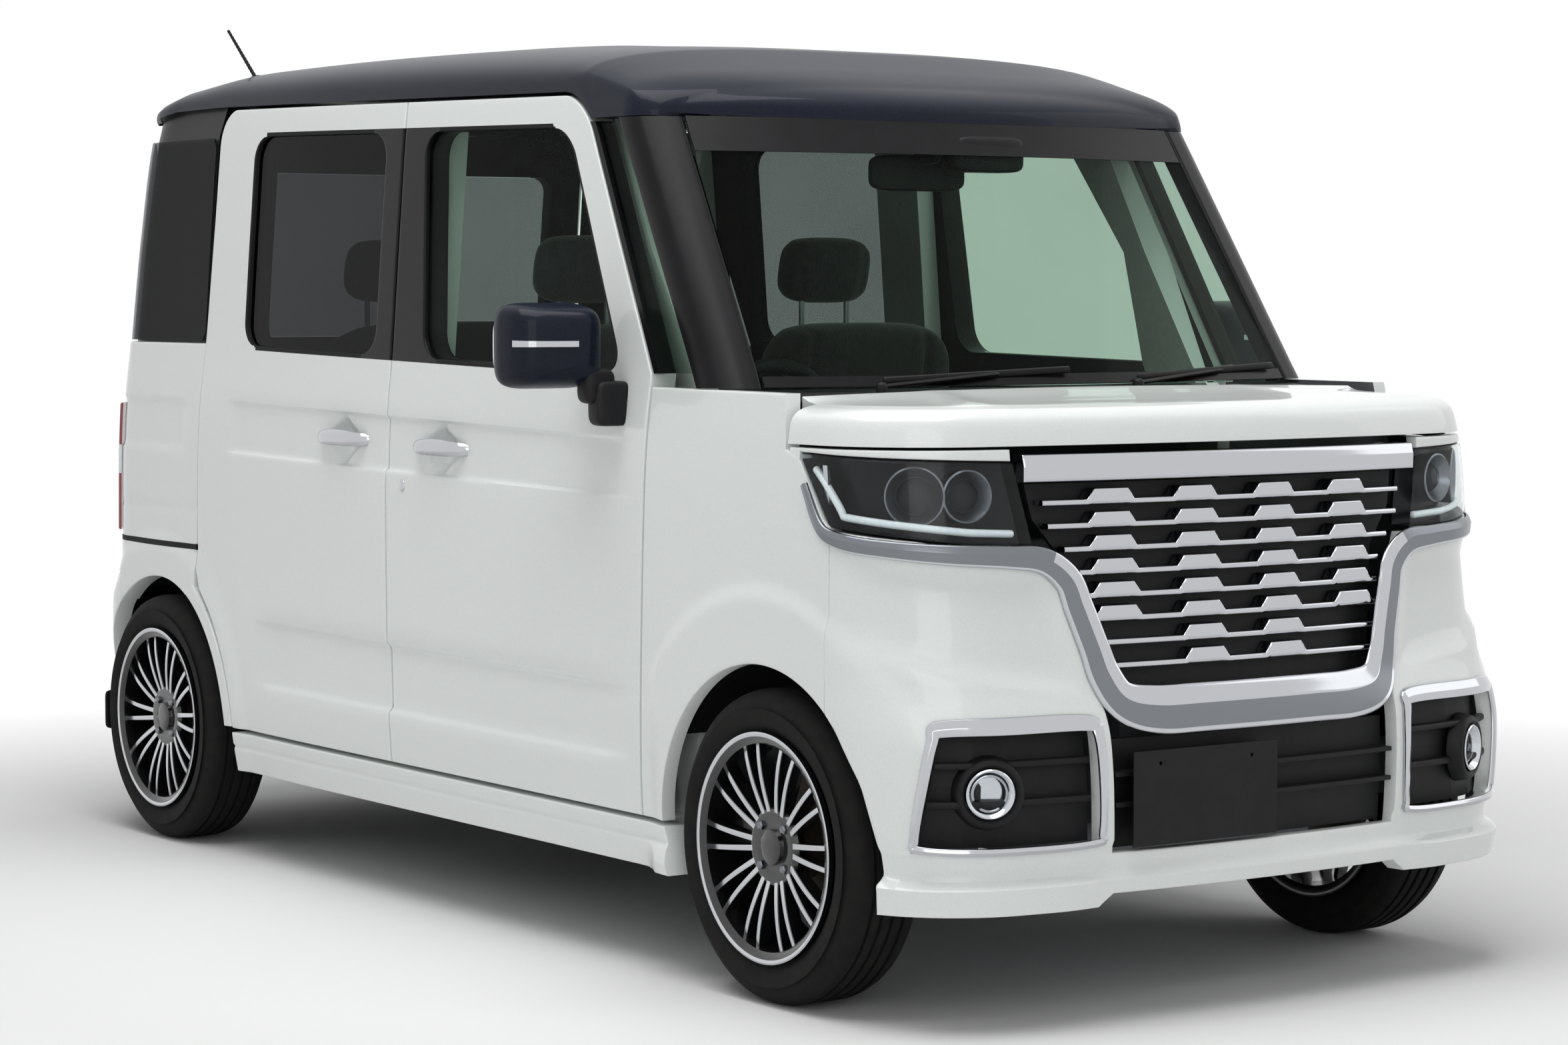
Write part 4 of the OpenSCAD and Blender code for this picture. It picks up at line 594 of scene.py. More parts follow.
def tube(path, radius, steps=10, squash=(1, 1)):
    """Round bar along a path, with rounded closed ends: circles carried in the frame of the path."""
    p = np.asarray(path, float)
    r = np.broadcast_to(np.asarray(radius, float), len(p))
    t = np.gradient(p, axis=0)
    t /= np.linalg.norm(t, axis=1, keepdims=True)
    ref = np.where(np.abs(t[:, 2:3]) > 0.9, [[0.0, 1.0, 0.0]], [[0.0, 0.0, 1.0]])
    n = np.cross(ref, t)
    n /= np.linalg.norm(n, axis=1, keepdims=True)
    b = np.cross(t, n)
    cap = np.array([0.0, 0.5, 0.85])
    p = np.concatenate([p[:1] - t[:1] * r[0] * np.sqrt(1 - cap[:, None] ** 2) * 0.6, p,
                        p[-1:] + t[-1:] * r[-1] * np.sqrt(1 - cap[::-1, None] ** 2) * 0.6])
    n, b = (np.concatenate([np.repeat(v[:1], 3, 0), v, np.repeat(v[-1:], 3, 0)]) for v in (n, b))
    r = np.concatenate([r[0] * cap, r, r[-1] * cap[::-1]])
    a = np.linspace(0, 2 * np.pi, steps, endpoint=False)
    around = n[:, None] * np.cos(a)[:, None] * squash[0] + b[:, None] * np.sin(a)[:, None] * squash[1]
    return skin(p[:, None] + around * r[:, None, None], closed_u=True)


def rod(start, end, radius, steps=12, squash=(1, 1), marks=5):
    """Straight bar between two points."""
    return tube(np.linspace(start, end, marks), radius, steps, squash)


def soft(c, e):
    """Power of a number that keeps its sign."""
    return np.sign(c) * np.abs(c) ** e


def pad(centre, size, power=4.0, steps=(24, 32), bulge=0.0):
    """Rounded block: a superellipsoid of the given size; bulge crowns its large faces."""
    v = np.linspace(-np.pi / 2, np.pi / 2, steps[0])[:, None]
    u = np.linspace(-np.pi, np.pi, steps[1], endpoint=False)[None]
    e = 2 / power
    waist = np.cos(v)
    waist[[0, -1]] = 0
    p = grid(soft(waist, e) * soft(np.cos(u), e), soft(waist, e) * soft(np.sin(u), e), soft(np.sin(v), e))
    flat = 1 - np.abs(p) ** 2
    p[..., 2] *= 1 + bulge * flat[..., 0] * flat[..., 1]
    return skin(np.asarray(centre, float) + p * np.asarray(size, float) / 2, closed_u=True)


def piece(name, mesh, materials, body, replaces=(), smooth=35, merge=0.02, recalc=False):
    """Mesh object in metres that rides on a body; close points are merged and faces smoothed below an angle."""
    data = bpy.data.meshes.new(name)
    points, quads, kinds = mesh
    data.vertices.add(len(points))
    data.vertices.foreach_set("co", (points * MM).astype(np.float32).ravel())
    data.loops.add(4 * len(quads))
    data.loops.foreach_set("vertex_index", quads.astype(np.int32).ravel())
    data.polygons.add(len(quads))
    data.polygons.foreach_set("loop_start", np.arange(0, 4 * len(quads), 4, dtype=np.int32))
    data.polygons.foreach_set("material_index", kinds.astype(np.int32))
    data.update(calc_edges=True)
    data.validate()
    work = bmesh.new()
    work.from_mesh(data)
    bmesh.ops.remove_doubles(work, verts=work.verts, dist=merge * MM)
    bmesh.ops.dissolve_degenerate(work, edges=work.edges, dist=merge * MM / 4)
    if recalc:
        bmesh.ops.recalc_face_normals(work, faces=work.faces)
    work.to_mesh(data)
    work.free()
    data.shade_smooth()
    data.set_sharp_from_angle(angle=math.radians(smooth))
    obj = bpy.data.objects.new(name, data)
    bpy.context.scene.collection.objects.link(obj)
    for m in materials:
        data.materials.append(m)
    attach(obj, body)
    if replaces:
        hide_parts(*replaces)
    return obj


def linear(code):
    """sRGB hex colour as linear red, green, blue and alpha."""
    v = np.array([int(code[i:i + 2], 16) for i in (1, 3, 5)]) / 255
    return (*np.where(v <= 0.04045, v / 12.92, ((v + 0.055) / 1.055) ** 2.4), 1.0)


def add_node(tree, kind, links=(), **settings):
    """Adds a node, sets its properties or input values by name and links sockets to its inputs."""
    node = tree.nodes.new(kind)
    for key, value in settings.items():
        if hasattr(node, key):
            setattr(node, key, value)
        else:
            node.inputs[key.replace("_", " ").title() if key.islower() else key].default_value = value
    for name, socket in dict(links).items():
        tree.links.new(socket, node.inputs[name])
    return node


def finish(name, colour, rough=0.4, metallic=0.0, grain=None, mottle=None, **sockets):
    """Principled material: grain is (size in mm, height in mm), mottle is (size in mm, second colour)."""
    mat = bpy.data.materials.new(name)
    mat.use_nodes = True
    tree = mat.node_tree
    shader = tree.nodes["Principled BSDF"]
    shader.inputs["Base Color"].default_value = colour if isinstance(colour, tuple) else linear(colour)
    shader.inputs["Roughness"].default_value = rough
    shader.inputs["Metallic"].default_value = metallic
    for key, value in sockets.items():
        shader.inputs[key.replace("_", " ").title().replace("Ior", "IOR")].default_value = value
    place = add_node(tree, "ShaderNodeTexCoord").outputs["Object"]
    if grain:
        noise = add_node(tree, "ShaderNodeTexNoise", {"Vector": place}, scale=1 / (grain[0] * MM), detail=3.0)
        bump = add_node(tree, "ShaderNodeBump", {"Height": noise.outputs["Fac"]}, distance=grain[1] * MM,
                        strength=0.6)
        tree.links.new(bump.outputs["Normal"], shader.inputs["Normal"])
    if mottle:
        noise = add_node(tree, "ShaderNodeTexNoise", {"Vector": place}, scale=1 / (mottle[0] * MM), detail=2.0)
        ramp = add_node(tree, "ShaderNodeValToRGB", {"Fac": noise.outputs["Fac"]})
        ramp.color_ramp.elements[0].position = 0.35
        ramp.color_ramp.elements[0].color = shader.inputs["Base Color"].default_value
        ramp.color_ramp.elements[1].position = 0.65
        ramp.color_ramp.elements[1].color = linear(mottle[1])
        tree.links.new(ramp.outputs["Color"], shader.inputs["Base Color"])
    return mat


class MicrovanPaint(bpy.types.PropertyGroup):
    """Colours of the car"""

    body: FloatVectorProperty(name="Body", description="Pearl white of the lower body", subtype="COLOR", size=4,
                              min=0, max=1, default=linear("#ECF0EE"))
    roof: FloatVectorProperty(name="Roof", description="Blue-black of the roof and mirrors", subtype="COLOR", size=4,
                              min=0, max=1, default=linear("#0B101C"))
    cabin: FloatVectorProperty(name="Cabin", description="Seat cloth and trim", subtype="COLOR", size=4,
                               min=0, max=1, default=linear("#2B2A2C"))


class MicrovanSizes(bpy.types.PropertyGroup):
    """Sizes of the dressed details"""

    bars: IntProperty(name="Grille bars", description="Number of chrome bars", default=8, min=6, max=9)
    block_pitch: FloatProperty(name="Block pitch", description="Distance between the bright blocks of a bar",
                               default=185 * MM, unit="LENGTH", min=0.15, max=0.22)
    spoke_pairs: IntProperty(name="Spoke pairs", description="Paired spokes of a wheel", default=10, min=7, max=12)
    tread: FloatProperty(name="Tread depth", description="Depth of the tyre grooves", default=6 * MM, unit="LENGTH",
                         min=0.002, max=0.008)


FINISHES = {}


def make_finishes(paint):
    """All materials, named for what they are and how they were made."""
    clear = dict(rough=0.0, transmission_weight=1.0, ior=1.02, coat_roughness=0.0)
    make = {
        # Pearl basecoat under lacquer: soft white with fine mica and a sharp clear gloss
        "pearl_white_lacquer": dict(colour=tuple(paint.body), rough=0.42, mottle=(3, "#E7ECEA"), coat_weight=0.7,
                                    coat_roughness=0.03),
        # Dark metallic basecoat under lacquer: blue only where light falls on it
        "night_blue_lacquer": dict(colour=tuple(paint.roof), rough=0.4, mottle=(2.5, "#141B2B"),
                                   specular_ior_level=0.1, coat_weight=0.16, coat_roughness=0.04),
        # Grey electrocoat primer with fine orange peel
        "grey_primer": dict(colour="#5C5F61", rough=0.6, grain=(3, 0.2)),
        # Moulded ABS with a fine leather-like grain
        "black_moulded_abs": dict(colour="#151517", rough=0.5, grain=(1.5, 0.15), mottle=(40, "#1A1A1C"),
                                  specular_ior_level=0.2),
        # Glossy black film and lacquered pillars
        "black_gloss_film": dict(colour="#0D0D0F", rough=0.3, mottle=(60, "#121215"), specular_ior_level=0.15),
        # Bright chrome plating on ABS: mirror-like with slight waviness
        "chrome_plate": dict(colour="#BDBFC3", rough=0.1, metallic=1.0, grain=(60, 0.15)),
        # Satin chrome: softer grey metal; on the grille band it is also painted shade, a darker copy of the bright
        # chrome
        "satin_and_shaded_chrome": dict(colour="#7C7F84", rough=0.28, metallic=1.0, grain=(25, 0.1)),
        # Extruded window rubber
        "black_rubber": dict(colour="#101011", rough=0.7, grain=(1, 0.1), specular_ior_level=0.2),
        # Green-tinted float glass: light passes straight through and takes the tint
        "green_float_glass": dict(colour="#C3D3C9", mottle=(400, "#C6D6CC"), coat_weight=0.08, **clear),
        # Privacy glass tinted in the mass
        "privacy_glass": dict(colour="#6E7072", mottle=(300, "#727476"), coat_weight=0.2, **clear),
        # Clear polycarbonate lamp cover
        "clear_polycarbonate": dict(colour="#EDF1F2", mottle=(50, "#F0F4F5"), coat_weight=0.25, **clear),
        # Vacuum-coated lamp reflector
        "lamp_reflector": dict(colour="#C8CBCF", rough=0.12, metallic=1.0, grain=(12, 0.2)),
        # White light guide of acrylic
        "acrylic_light_guide": dict(colour="#E8ECEE", rough=0.2, mottle=(8, "#DDE3E6"), coat_weight=0.6),
        # Red acrylic lens with moulded prisms
        "red_acrylic": dict(colour="#7A0A10", rough=0.12, grain=(6, 0.4), mottle=(12, "#8E1016"), coat_weight=1.0),
        # Tyre tread and sidewall: carbon-black rubber, slightly dusty
        "tyre_rubber": dict(colour="#131313", rough=0.82, grain=(2, 0.25), mottle=(30, "#1A1A19"),
                            specular_ior_level=0.2),
        # Gloss black enamel of the wheel
        "black_wheel_enamel": dict(colour="#0C0C0D", rough=0.25, mottle=(30, "#101012"), coat_weight=0.6),
        # Diamond-turned aluminium face: bright with fine turning lines
        "turned_aluminium": dict(colour="#C4C6C9", rough=0.22, metallic=1.0, grain=(2, 0.12)),
        # Cast iron of discs and drums, turned and slightly rusty
        "turned_cast_iron": dict(colour="#56534F", rough=0.5, metallic=0.8, grain=(3, 0.2), mottle=(18, "#5F554B")),
        # Cast aluminium of engine and knuckles
        "cast_aluminium": dict(colour="#7F8285", rough=0.55, metallic=0.7, grain=(4, 0.5)),
        # Pressed steel of arms and exhaust
        "pressed_steel": dict(colour="#4B4D50", rough=0.5, metallic=0.8, grain=(6, 0.2), mottle=(40, "#55565A")),
        # Grained soft dashboard skin
        "dash_vinyl": dict(colour="#1D1E20", rough=0.6, grain=(2, 0.2), mottle=(30, "#222326"),
                           specular_ior_level=0.2),
        # Needle-felt lining
        "grey_felt": dict(colour="#9A9B98", rough=0.9, grain=(2, 0.3), mottle=(10, "#A3A4A1")),
        # Mirror glass
        "silvered_glass": dict(colour="#D9DCDE", rough=0.02, metallic=1.0, grain=(200, 0.05)),
    }
    for name, settings in make.items():
        FINISHES[name] = finish(name, **settings)
    cloth = finish("woven_seat_cloth", tuple(paint.cabin), rough=0.9, mottle=(14, "#343235"), sheen_weight=0.3)
    tree = cloth.node_tree
    place = add_node(tree, "ShaderNodeTexCoord").outputs["Object"]
    # Twill of 1.2 mm threads, drawn at 5 mm so that it shows
    weave = add_node(tree, "ShaderNodeTexWave", {"Vector": place}, scale=1 / (5 * MM) / 6.28, distortion=1.5)
    bump = add_node(tree, "ShaderNodeBump", {"Height": weave.outputs["Fac"]}, distance=0.5 * MM, strength=0.5)
    tree.links.new(bump.outputs["Normal"], tree.nodes["Principled BSDF"].inputs["Normal"])
    FINISHES["woven_seat_cloth"] = cloth


def use(*names):
    """Materials by name."""
    return [FINISHES[n] for n in names]


def coat(material, *nodes):
    """Puts one material on solids that are kept as they are."""
    for n in nodes:
        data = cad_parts[n].data
        data.materials.clear()
        data.materials.append(FINISHES[material])


class Operator(bpy.types.Operator):
    """Base of the building steps"""

    bl_options = {"REGISTER", "UNDO"}


def door_mesh(front, win_front, win_rear, rear, sash):
    """Door of full depth with its window cut: side surface between four edge curves, edges rolled in."""
    row_counts, col_counts = (4, 5, 7, 9, 4, 7, 12, 7, 4), (8, 42, 12)
    z = lanes([SILL + GAP, SILL + 112, SILL + 244, BELT - 228, BELT - 122, BELT, BELT + CORNER, WINDOW_TOP - CORNER,
               WINDOW_TOP, FRAME_TOP], row_counts)
    stops = [front(z), win_front(z), win_rear(z), rear(z)]
    y = lanes(stops, col_counts)
    zz = z[:, None] + 0 * y
    f, wf, wr, r = (s[:, None] for s in stops)
    outer = least(y - f, r - y, zz - z[0], z[-1] - zz)
    window = np.hypot(most(wf - y, y - wr, 0 * y), most(BELT - zz, zz - WINDOW_TOP, 0 * y))
    depth = roll(np.minimum(outer, window)) + dish(y, zz)
    i0, i1 = lane_start(row_counts, 5), lane_start(row_counts, 8)
    j0, j1 = lane_start(col_counts, 1), lane_start(col_counts, 2)
    keep = np.ones((len(z) - 1, y.shape[1] - 1), bool)
    keep[i0:i1, j0:j1] = False
    mats = np.zeros(keep.shape, int)
    mid = (window[:-1, :-1] + window[1:, 1:]) / 2
    mats[mid < 9] = 3
    # The black sash is as tall as the window with its rubber
    band = (np.abs(zz[1:, :1] + zz[:-1, :1] - BELT - WINDOW_TOP) / 2 < (WINDOW_TOP - BELT) / 2 + 9)[:, 0]
    column = np.arange(mats.shape[1])
    mats[np.ix_(band, column >= j1 if sash == "rear" else column < j0)] = 2
    return wall(raised, y, zz, depth, DOOR_DEPTH, keep, mats, inner_mat=1)


def dish(y, z):
    """Hollow behind each door handle: a diamond-shaped dent."""
    h = z - BELT + 178
    near = np.minimum(np.abs(y - POST_Y + FRONT_HANDLE), np.abs(y - POST_Y - SLIDE_HANDLE))
    return 15 * ease((1 - near / 82 - np.abs(h) / 58) / 0.45)


def handle_mesh(y):
    """Bow handle: a flattened bar that leaves the door, runs along it and returns."""
    base = raised(np.array(y), np.array(BELT - 175.0), 0.0)
    a = np.linspace(-1, 1, 25)
    out = 26 * (1 - np.abs(a) ** 6) - 6
    path = np.stack([base[0] + out, y + 100 * a, base[2] + 3 * (1 - a * a)], -1)
    return tube(path, mix(10, 14, 1 - a * a), 14, (0.75, 1.25))


def pane_mesh(win_front, win_rear, depth):
    """Pane just inside a window: the side surface between the window edges."""
    z = np.concatenate([mix(BELT + 0.6, BELT + CORNER, np.linspace(0, 1, 9) ** 1.6),
                        np.linspace(BELT + CORNER, WINDOW_TOP - CORNER, 16)[1:-1],
                        mix(WINDOW_TOP - 0.6, WINDOW_TOP - CORNER, np.linspace(1, 0, 9) ** 1.6)])
    y = mix(win_front(z)[:, None] + 0.6, win_rear(z)[:, None] - 0.6, np.linspace(0, 1, 24))
    return wall(raised, y, z[:, None], depth, depth + GLASS)


class MICROVAN_OT_doors(Operator):
    """Front doors with handles and panes, and sliding rear doors"""

    bl_idname = "microvan.doors"
    bl_label = "Doors"

    def execute(self, context):
        kinds = use("pearl_white_lacquer", "dash_vinyl", "black_gloss_film", "black_rubber", "chrome_plate")
        front = door_mesh(door_front, door_window_front, door_window_rear, lambda z: POST_Y - GAP / 2 + 0 * z,
                          "rear")
        lock = pad(raised(np.array(POST_Y - 73.0), np.array(854.0), 0.0), (7, 21, 24), 2.4)
        front = join(front, painted(join(handle_mesh(POST_Y - FRONT_HANDLE), lock), 4))
        pane = pane_mesh(door_window_front, door_window_rear, 9)
        for name, turn in SIDES:
            piece("door_skin_" + name, turn(front), kinds, "door_" + name, ["door_" + name])
            piece("door_pane_" + name, turn(pane), use("green_float_glass"), "door_" + name, ["door_glass_" + name])
        slide = door_mesh(lambda z: POST_Y + GAP / 2 + 0 * z, slide_window_front, slide_window_rear, slide_rear,
                          "front")
        slide = join(slide, painted(handle_mesh(POST_Y + SLIDE_HANDLE), 4))
        piece("sliding_door_skins", both(slide), kinds, "body", ["sliding_doors"])
        quarter_z = np.concatenate([[BELT + 0.6], np.linspace(BELT + 3, WINDOW_TOP - 3, 28), [WINDOW_TOP - 0.6]])
        half_round = round_off(quarter_z, BELT, WINDOW_TOP, CORNER / 2)[:, None]
        h = quarter_z[:, None] + QUARTER_LIFT
        s = mix(tail_run(SLIDE_Y + 3 + half_round + 0.6, h), GATE_HALF + 20 + half_round + 0.6, np.linspace(0, 1, 40))
        rear = wall(tail, s, h, 2, 2 + GLASS)
        panes = join(pane_mesh(slide_window_front, slide_window_rear, 9), rear)
        piece("privacy_panes", both(panes), use("privacy_glass"), "body", ["privacy_glass"])
        return {"FINISHED"}


def quarter_mesh():
    """Rear quarter: the tail ring from the sliding door over the wheel and round the corner to the tailgate."""
    top = BELT - 4 + QUARTER_LIFT
    ends = [(place - REAR_AXLE) / ARCH for place in (SLIDE_Y + 16, QUARTER_JOINT)]
    over = REAR_AXLE + ARCH * np.sin(np.linspace(*np.arcsin(ends), 40))
    i = lanes([0.0, 700.0], [56])[:, None] / 700
    z = mix(WHEEL_Z + np.sqrt(ARCH ** 2 - (over - REAR_AXLE) ** 2), top, i)
    share = np.linspace(0, 1, 40)
    first = slide_rear(z[:, :1]) + GAP
    y = np.where(share < 0.12, mix(first, over[5], share / 0.12 * 0.999), over)
    near = least(y - first, np.hypot(y - REAR_AXLE, z - WHEEL_Z) - ARCH, top - z)
    ahead = wall(tail, tail_run(y, z), z, roll(near) + seam(y, z), 45, inner_mat=1)
    z = mix(REAR_BUMPER_TOP + 2, top, i) + np.zeros((1, 38))
    s = mix(tail_run(QUARTER_JOINT, z[:, :1]), GATE_HALF + GAP, np.linspace(0, 1, 38))
    near = least(s - GATE_HALF - GAP, z - z[:1], top - z)
    behind = wall(tail, s, z, roll(near) + seam(tail(s, z, 0)[..., 1], z), 45, inner_mat=1)
    s = mix(float(tail_run(SLIDE_Y + 14, 685.0)), GATE_HALF + 60, np.linspace(0, 1, 50))
    h = lanes([0.0, RAIL_HEIGHT], [3])[:, None]
    slot = painted(wall(tail, s, RAIL_Z + h, roll(np.minimum(h, RAIL_HEIGHT - h), 2) - 1.2, 6), 4)
    angle = np.radians(np.linspace(178, 116, 40))
    q = lanes([ARCH, ARCH + 37], [4])[:, None]
    y, z = REAR_AXLE + q * np.cos(angle), WHEEL_Z + q * np.sin(angle)
    lip = wall(tail, tail_run(y, z), z, 0.5 + roll(np.minimum(q - ARCH, ARCH + 37 - q)), 40, inner_mat=1)
    return join(opened(join(ahead, behind)), lip, slot)


def seam(y, z):
    """Groove along the rear quarter over the door rail, and a shallow pressing above it."""
    return (2.5 * np.exp(-((z - 770) / 5.0) ** 2) + 4 * plateau(z, 905, 1011, 12) * ease((y - SLIDE_Y - 60) / 40)
            - 2.5 * ease((690 - z) / 60) * ease((z - 640) / 40))


def side_frame_mesh():
    """Posts, rail and sill behind the doors: rows of the side surface with both openings left out."""
    z = np.array([SILL, SILL + 46, SILL + 146, SILL + 246, SILL + 336, SILL + 420, BELT - 60, BELT,
                  (BELT + WINDOW_TOP) / 2, WINDOW_TOP + 10, FRAME_TOP - 1])
    low = z < BELT
    a_front = np.where(low, np.maximum(DOOR_Y - 90, FRONT_AXLE + chord(ARCH + 40, z)), door_front(z) - 14)
    a_rear = np.where(low, DOOR_Y + 110, door_window_front(z) - 20)
    c_rear = np.minimum(SLIDE_Y - 20, REAR_AXLE - chord(ARCH + 48, z))
    c_front = np.minimum(SLIDE_Y - 110, REAR_AXLE - chord(ARCH + 140, z))
    stops = [a_front, a_rear, mix(a_rear, POST_Y - 80, 0.5), POST_Y - 80 + 0 * z, POST_Y + 0 * z, POST_Y + 70 + 0 * z,
             mix(POST_Y + 70, c_front, 0.5), c_front, c_rear]
    y = np.stack(stops, -1)
    zz = z[:, None] + 0 * y
    fore = y < DOOR_Y + 150
    keep = np.ones((len(z) - 1, y.shape[1] - 1), bool)
    keep[1:9, [1, 2, 5, 6]] = False
    depth = np.where(fore & (zz <= BELT), FRAME_DEPTH + 30.0, FRAME_DEPTH)
    return wall(raised, y, zz, depth, FRAME_DEPTH + 44.0 + 18 * fore, keep, inner_mat=1)


def box_mesh(low, high):
    """Plain bar with softened edges between two corners."""
    low, high = np.array(low), np.array(high)
    return pad((low + high) / 2, high - low, 24.0, (20, 32))


class MICROVAN_OT_body_sides(Operator):
    """Rear quarters, door posts and sills"""

    bl_idname = "microvan.body_sides"
    bl_label = "Body sides"

    def execute(self, context):
        post_z = np.array([BELT - 60, BELT, (BELT + WINDOW_TOP) / 2, WINDOW_TOP + 4, WINDOW_TOP + 20])
        h = (post_z + QUARTER_LIFT)[:, None]
        s0, s1 = tail_run(SLIDE_Y + 20, h), tail_run(REAR_Y - 260, h)
        cols = np.linspace(1, 0, 24)
        s = np.where(cols > 0.5, mix(s1, s0, np.clip(cols * 2 - 1, 0, 1)),
                     mix(GATE_HALF + 12, s1, np.clip(cols * 2, 0, 1)))
        h = h + 0 * s
        place = tail(s, h, 0)[-1, :, 1]
        h[-1] = np.where(place < ROOF_REAR - 20, np.maximum(h[-1], roof_edge(place) + 14), h[-1])
        post = painted(wall(tail, s, h, 16, 70), 3)
        sill = box_mesh((FLOOR_HALF, DOOR_Y, FLOOR), (FLOOR_HALF + 60, REAR_AXLE - ARCH - 80, SILL + 6))
        x, y = float(half_at((SILL + BELT) / 2)) - 13, DOOR_Y + 52
        eyes = [painted(rod((x - 100, y, z), (x, y, z), 7, 12, (0.8, 2.8), 7), 2) for z in (SILL + 190, BELT - 240)]
        mesh = join(quarter_mesh(), side_frame_mesh(), post, sill, *eyes)
        kinds = use("pearl_white_lacquer", "grey_felt", "pressed_steel", "black_gloss_film", "black_rubber")
        piece("body_side_panels", both(mesh), kinds, "body", ["body_sides"])
        flap = pad((655, REAR_AXLE + 316, 268), (110, 9, 92), 9.0)
        piece("mud_flaps", both(flap), use("black_rubber"), "body", ())
        return {"FINISHED"}


def fender_mesh():
    """Front fender: the side surface between the wheel arch, the bonnet edge and the door, with rolled edges."""
    joint = FRONT_AXLE - 200
    arch = FRONT_AXLE + ARCH * np.sin(np.linspace(math.asin(-45 / ARCH), math.pi / 2, 46))
    ahead = np.concatenate([joint + EDGE, np.linspace(joint + 20, FRONT_AXLE - 110, 8),
                            np.linspace(FRONT_AXLE - 105, FRONT_AXLE - 50, 18), arch])
    share = np.sort(np.concatenate([np.linspace(0, 1, 12)[1:-1], 1 - EDGE / 75 * 0.8]))
    i = lanes([0.0, 700.0], [48])[:, None] / 700
    base = np.concatenate([ahead, np.full(len(share), FRONT_AXLE + ARCH)])
    t = np.concatenate([np.zeros(len(ahead)), share])
    over = WHEEL_Z + np.sqrt(np.maximum(0, ARCH ** 2 - (base - FRONT_AXLE) ** 2))
    low = np.maximum(SILL + GAP, np.where(t > 0, 0, over))
    place = mix(base, DOOR_Y, t) - FRONT_AXLE
    top = line(place, [-200, LAMP + 30], [-187, LAMP + 34], [-105, BONNET_EDGE - 22], [-66, BONNET_EDGE - 12],
               [-58, COWL - 1], [400, COWL + 1])
    z = mix(low, top, i)
    edge = door_front(np.minimum(z, BELT - 1)) - GAP
    y = mix(base, edge, t)
    lip = np.where(y < FRONT_AXLE + ARCH + 1, np.hypot(y - FRONT_AXLE, z - WHEEL_Z) - ARCH, z - SILL - GAP)
    near = least(lip, top - z, y - joint, edge - y)
    panel = wall(side, y, z, roll(near), 30, inner_mat=1)
    end = float(lamp_end())
    s = np.concatenate([480 + EDGE, np.linspace(494, end, 50), end + np.array([2.0, 5.0, 16.0, 30.0])])
    low = np.where(s < end + 3, lamp_top(s) + 4, BONNET_EDGE - 34)
    z = mix(low, BONNET_EDGE - GAP, np.array([0, 0.04, 0.1, 0.2, 0.5, 0.8, 0.9, 0.96, 1])[:, None])
    near = least(z - low, BONNET_EDGE - GAP - z, s - 480)
    return join(panel, wall(nose, s, z, 0.3 + roll(near, 2.5), 24, inner_mat=1))


def bumper_mesh():
    """Front bumper: the nose between its lower lip and the lamps, with the intake and the fog recesses left out."""
    frac = np.array([0, 0.01, 0.025, 0.06, 0.16, 0.3, 0.43, 0.57, 0.7, 0.84, 0.94, 0.975, 0.99])
    u = np.concatenate([(k + frac) for k in range(9)] + [[9.0]])
    v = np.concatenate([(k + frac) for k in range(8)] + [[8.0]])
    edge = lambda z: nose_run(FRONT_AXLE - np.maximum(201, chord(ARCH, z)), z)
    end = edge(LAMP + 25.0)
    runs = np.concatenate([[0, 170, 340, 372, 520], mix(690, end, np.arange(5) / 4)])
    low = lamp_low(runs)
    heights = np.stack(np.broadcast_arrays(BUMPER_LOW, BUMPER_LOW + 45, BUMPER_LOW + 92, FOG_LOW,
                                           (FOG_LOW + FOG_TOP) / 2, FOG_TOP, CHIN, (CHIN + low) / 2, low - 6))
    # The middle of the lower edge stands higher than the winglets
    heights[0, :3] += 22
    g, o, e = grille_half(heights), fog_out(heights), edge(heights)
    j = np.arange(10)
    s = np.where(j <= 2, g * j / 2, np.where(j <= 5, mix(g + 30, o, (j - 3) / 2), mix(o, e, (j - 5) / 4)))
    k, f = np.minimum(v.astype(int), 7), v - np.minimum(v.astype(int), 7)
    rows_s, rows_z = (mix(m[k], m[k + 1], f[:, None]) for m in (s, heights))
    k, f = np.minimum(u.astype(int), 8), u - np.minimum(u.astype(int), 8)
    s, z = (mix(m[:, k], m[:, k + 1], f) for m in (rows_s, rows_z))
    hole = np.zeros((len(v) - 1, len(u) - 1), bool)
    n = len(frac)
    hole[2 * n:, :2 * n] = True
    hole[3 * n:5 * n, 3 * n:5 * n] = True
    gz, oz = grille_half(z), fog_out(z)
    intake = np.hypot(np.maximum(s - gz, 0), np.maximum(BUMPER_LOW + 92 - z, 0))
    fog = np.hypot(most(gz + 30 - s, s - oz, 0 * s), most(FOG_LOW - z, z - FOG_TOP, 0 * s))
    top = lamp_low(s) - 6 - z
    near = least(intake, fog, z - z[:1], top, edge(z) - s)
    # Lip that stands out at the corners with a groove over it, and a hollow between the lamp and a falling crease
    lip = (9 + 15 * ease((s - 330) / 110)) * ease((BUMPER_LOW + 60 + 14 * ease((s - 700) / 150) - z) / 15)
    groove = 6 * plateau(z, BUMPER_LOW + 64, FOG_LOW + 2, 16)
    crease = line(s, [300, 556], [640, 604], [800, 654], [1000, 716])
    hollow = 15 * ease((z - crease) / 42) * ease((lamp_low(s) - 20 - z) / 60) * ease((edge(z) - s) / 140)
    depth = roll(near) - lip + groove + hollow * ease((s - gz - 20) / 50)
    return opened(both(wall(nose, s, z, depth, 28, ~hole, inner_mat=1)))


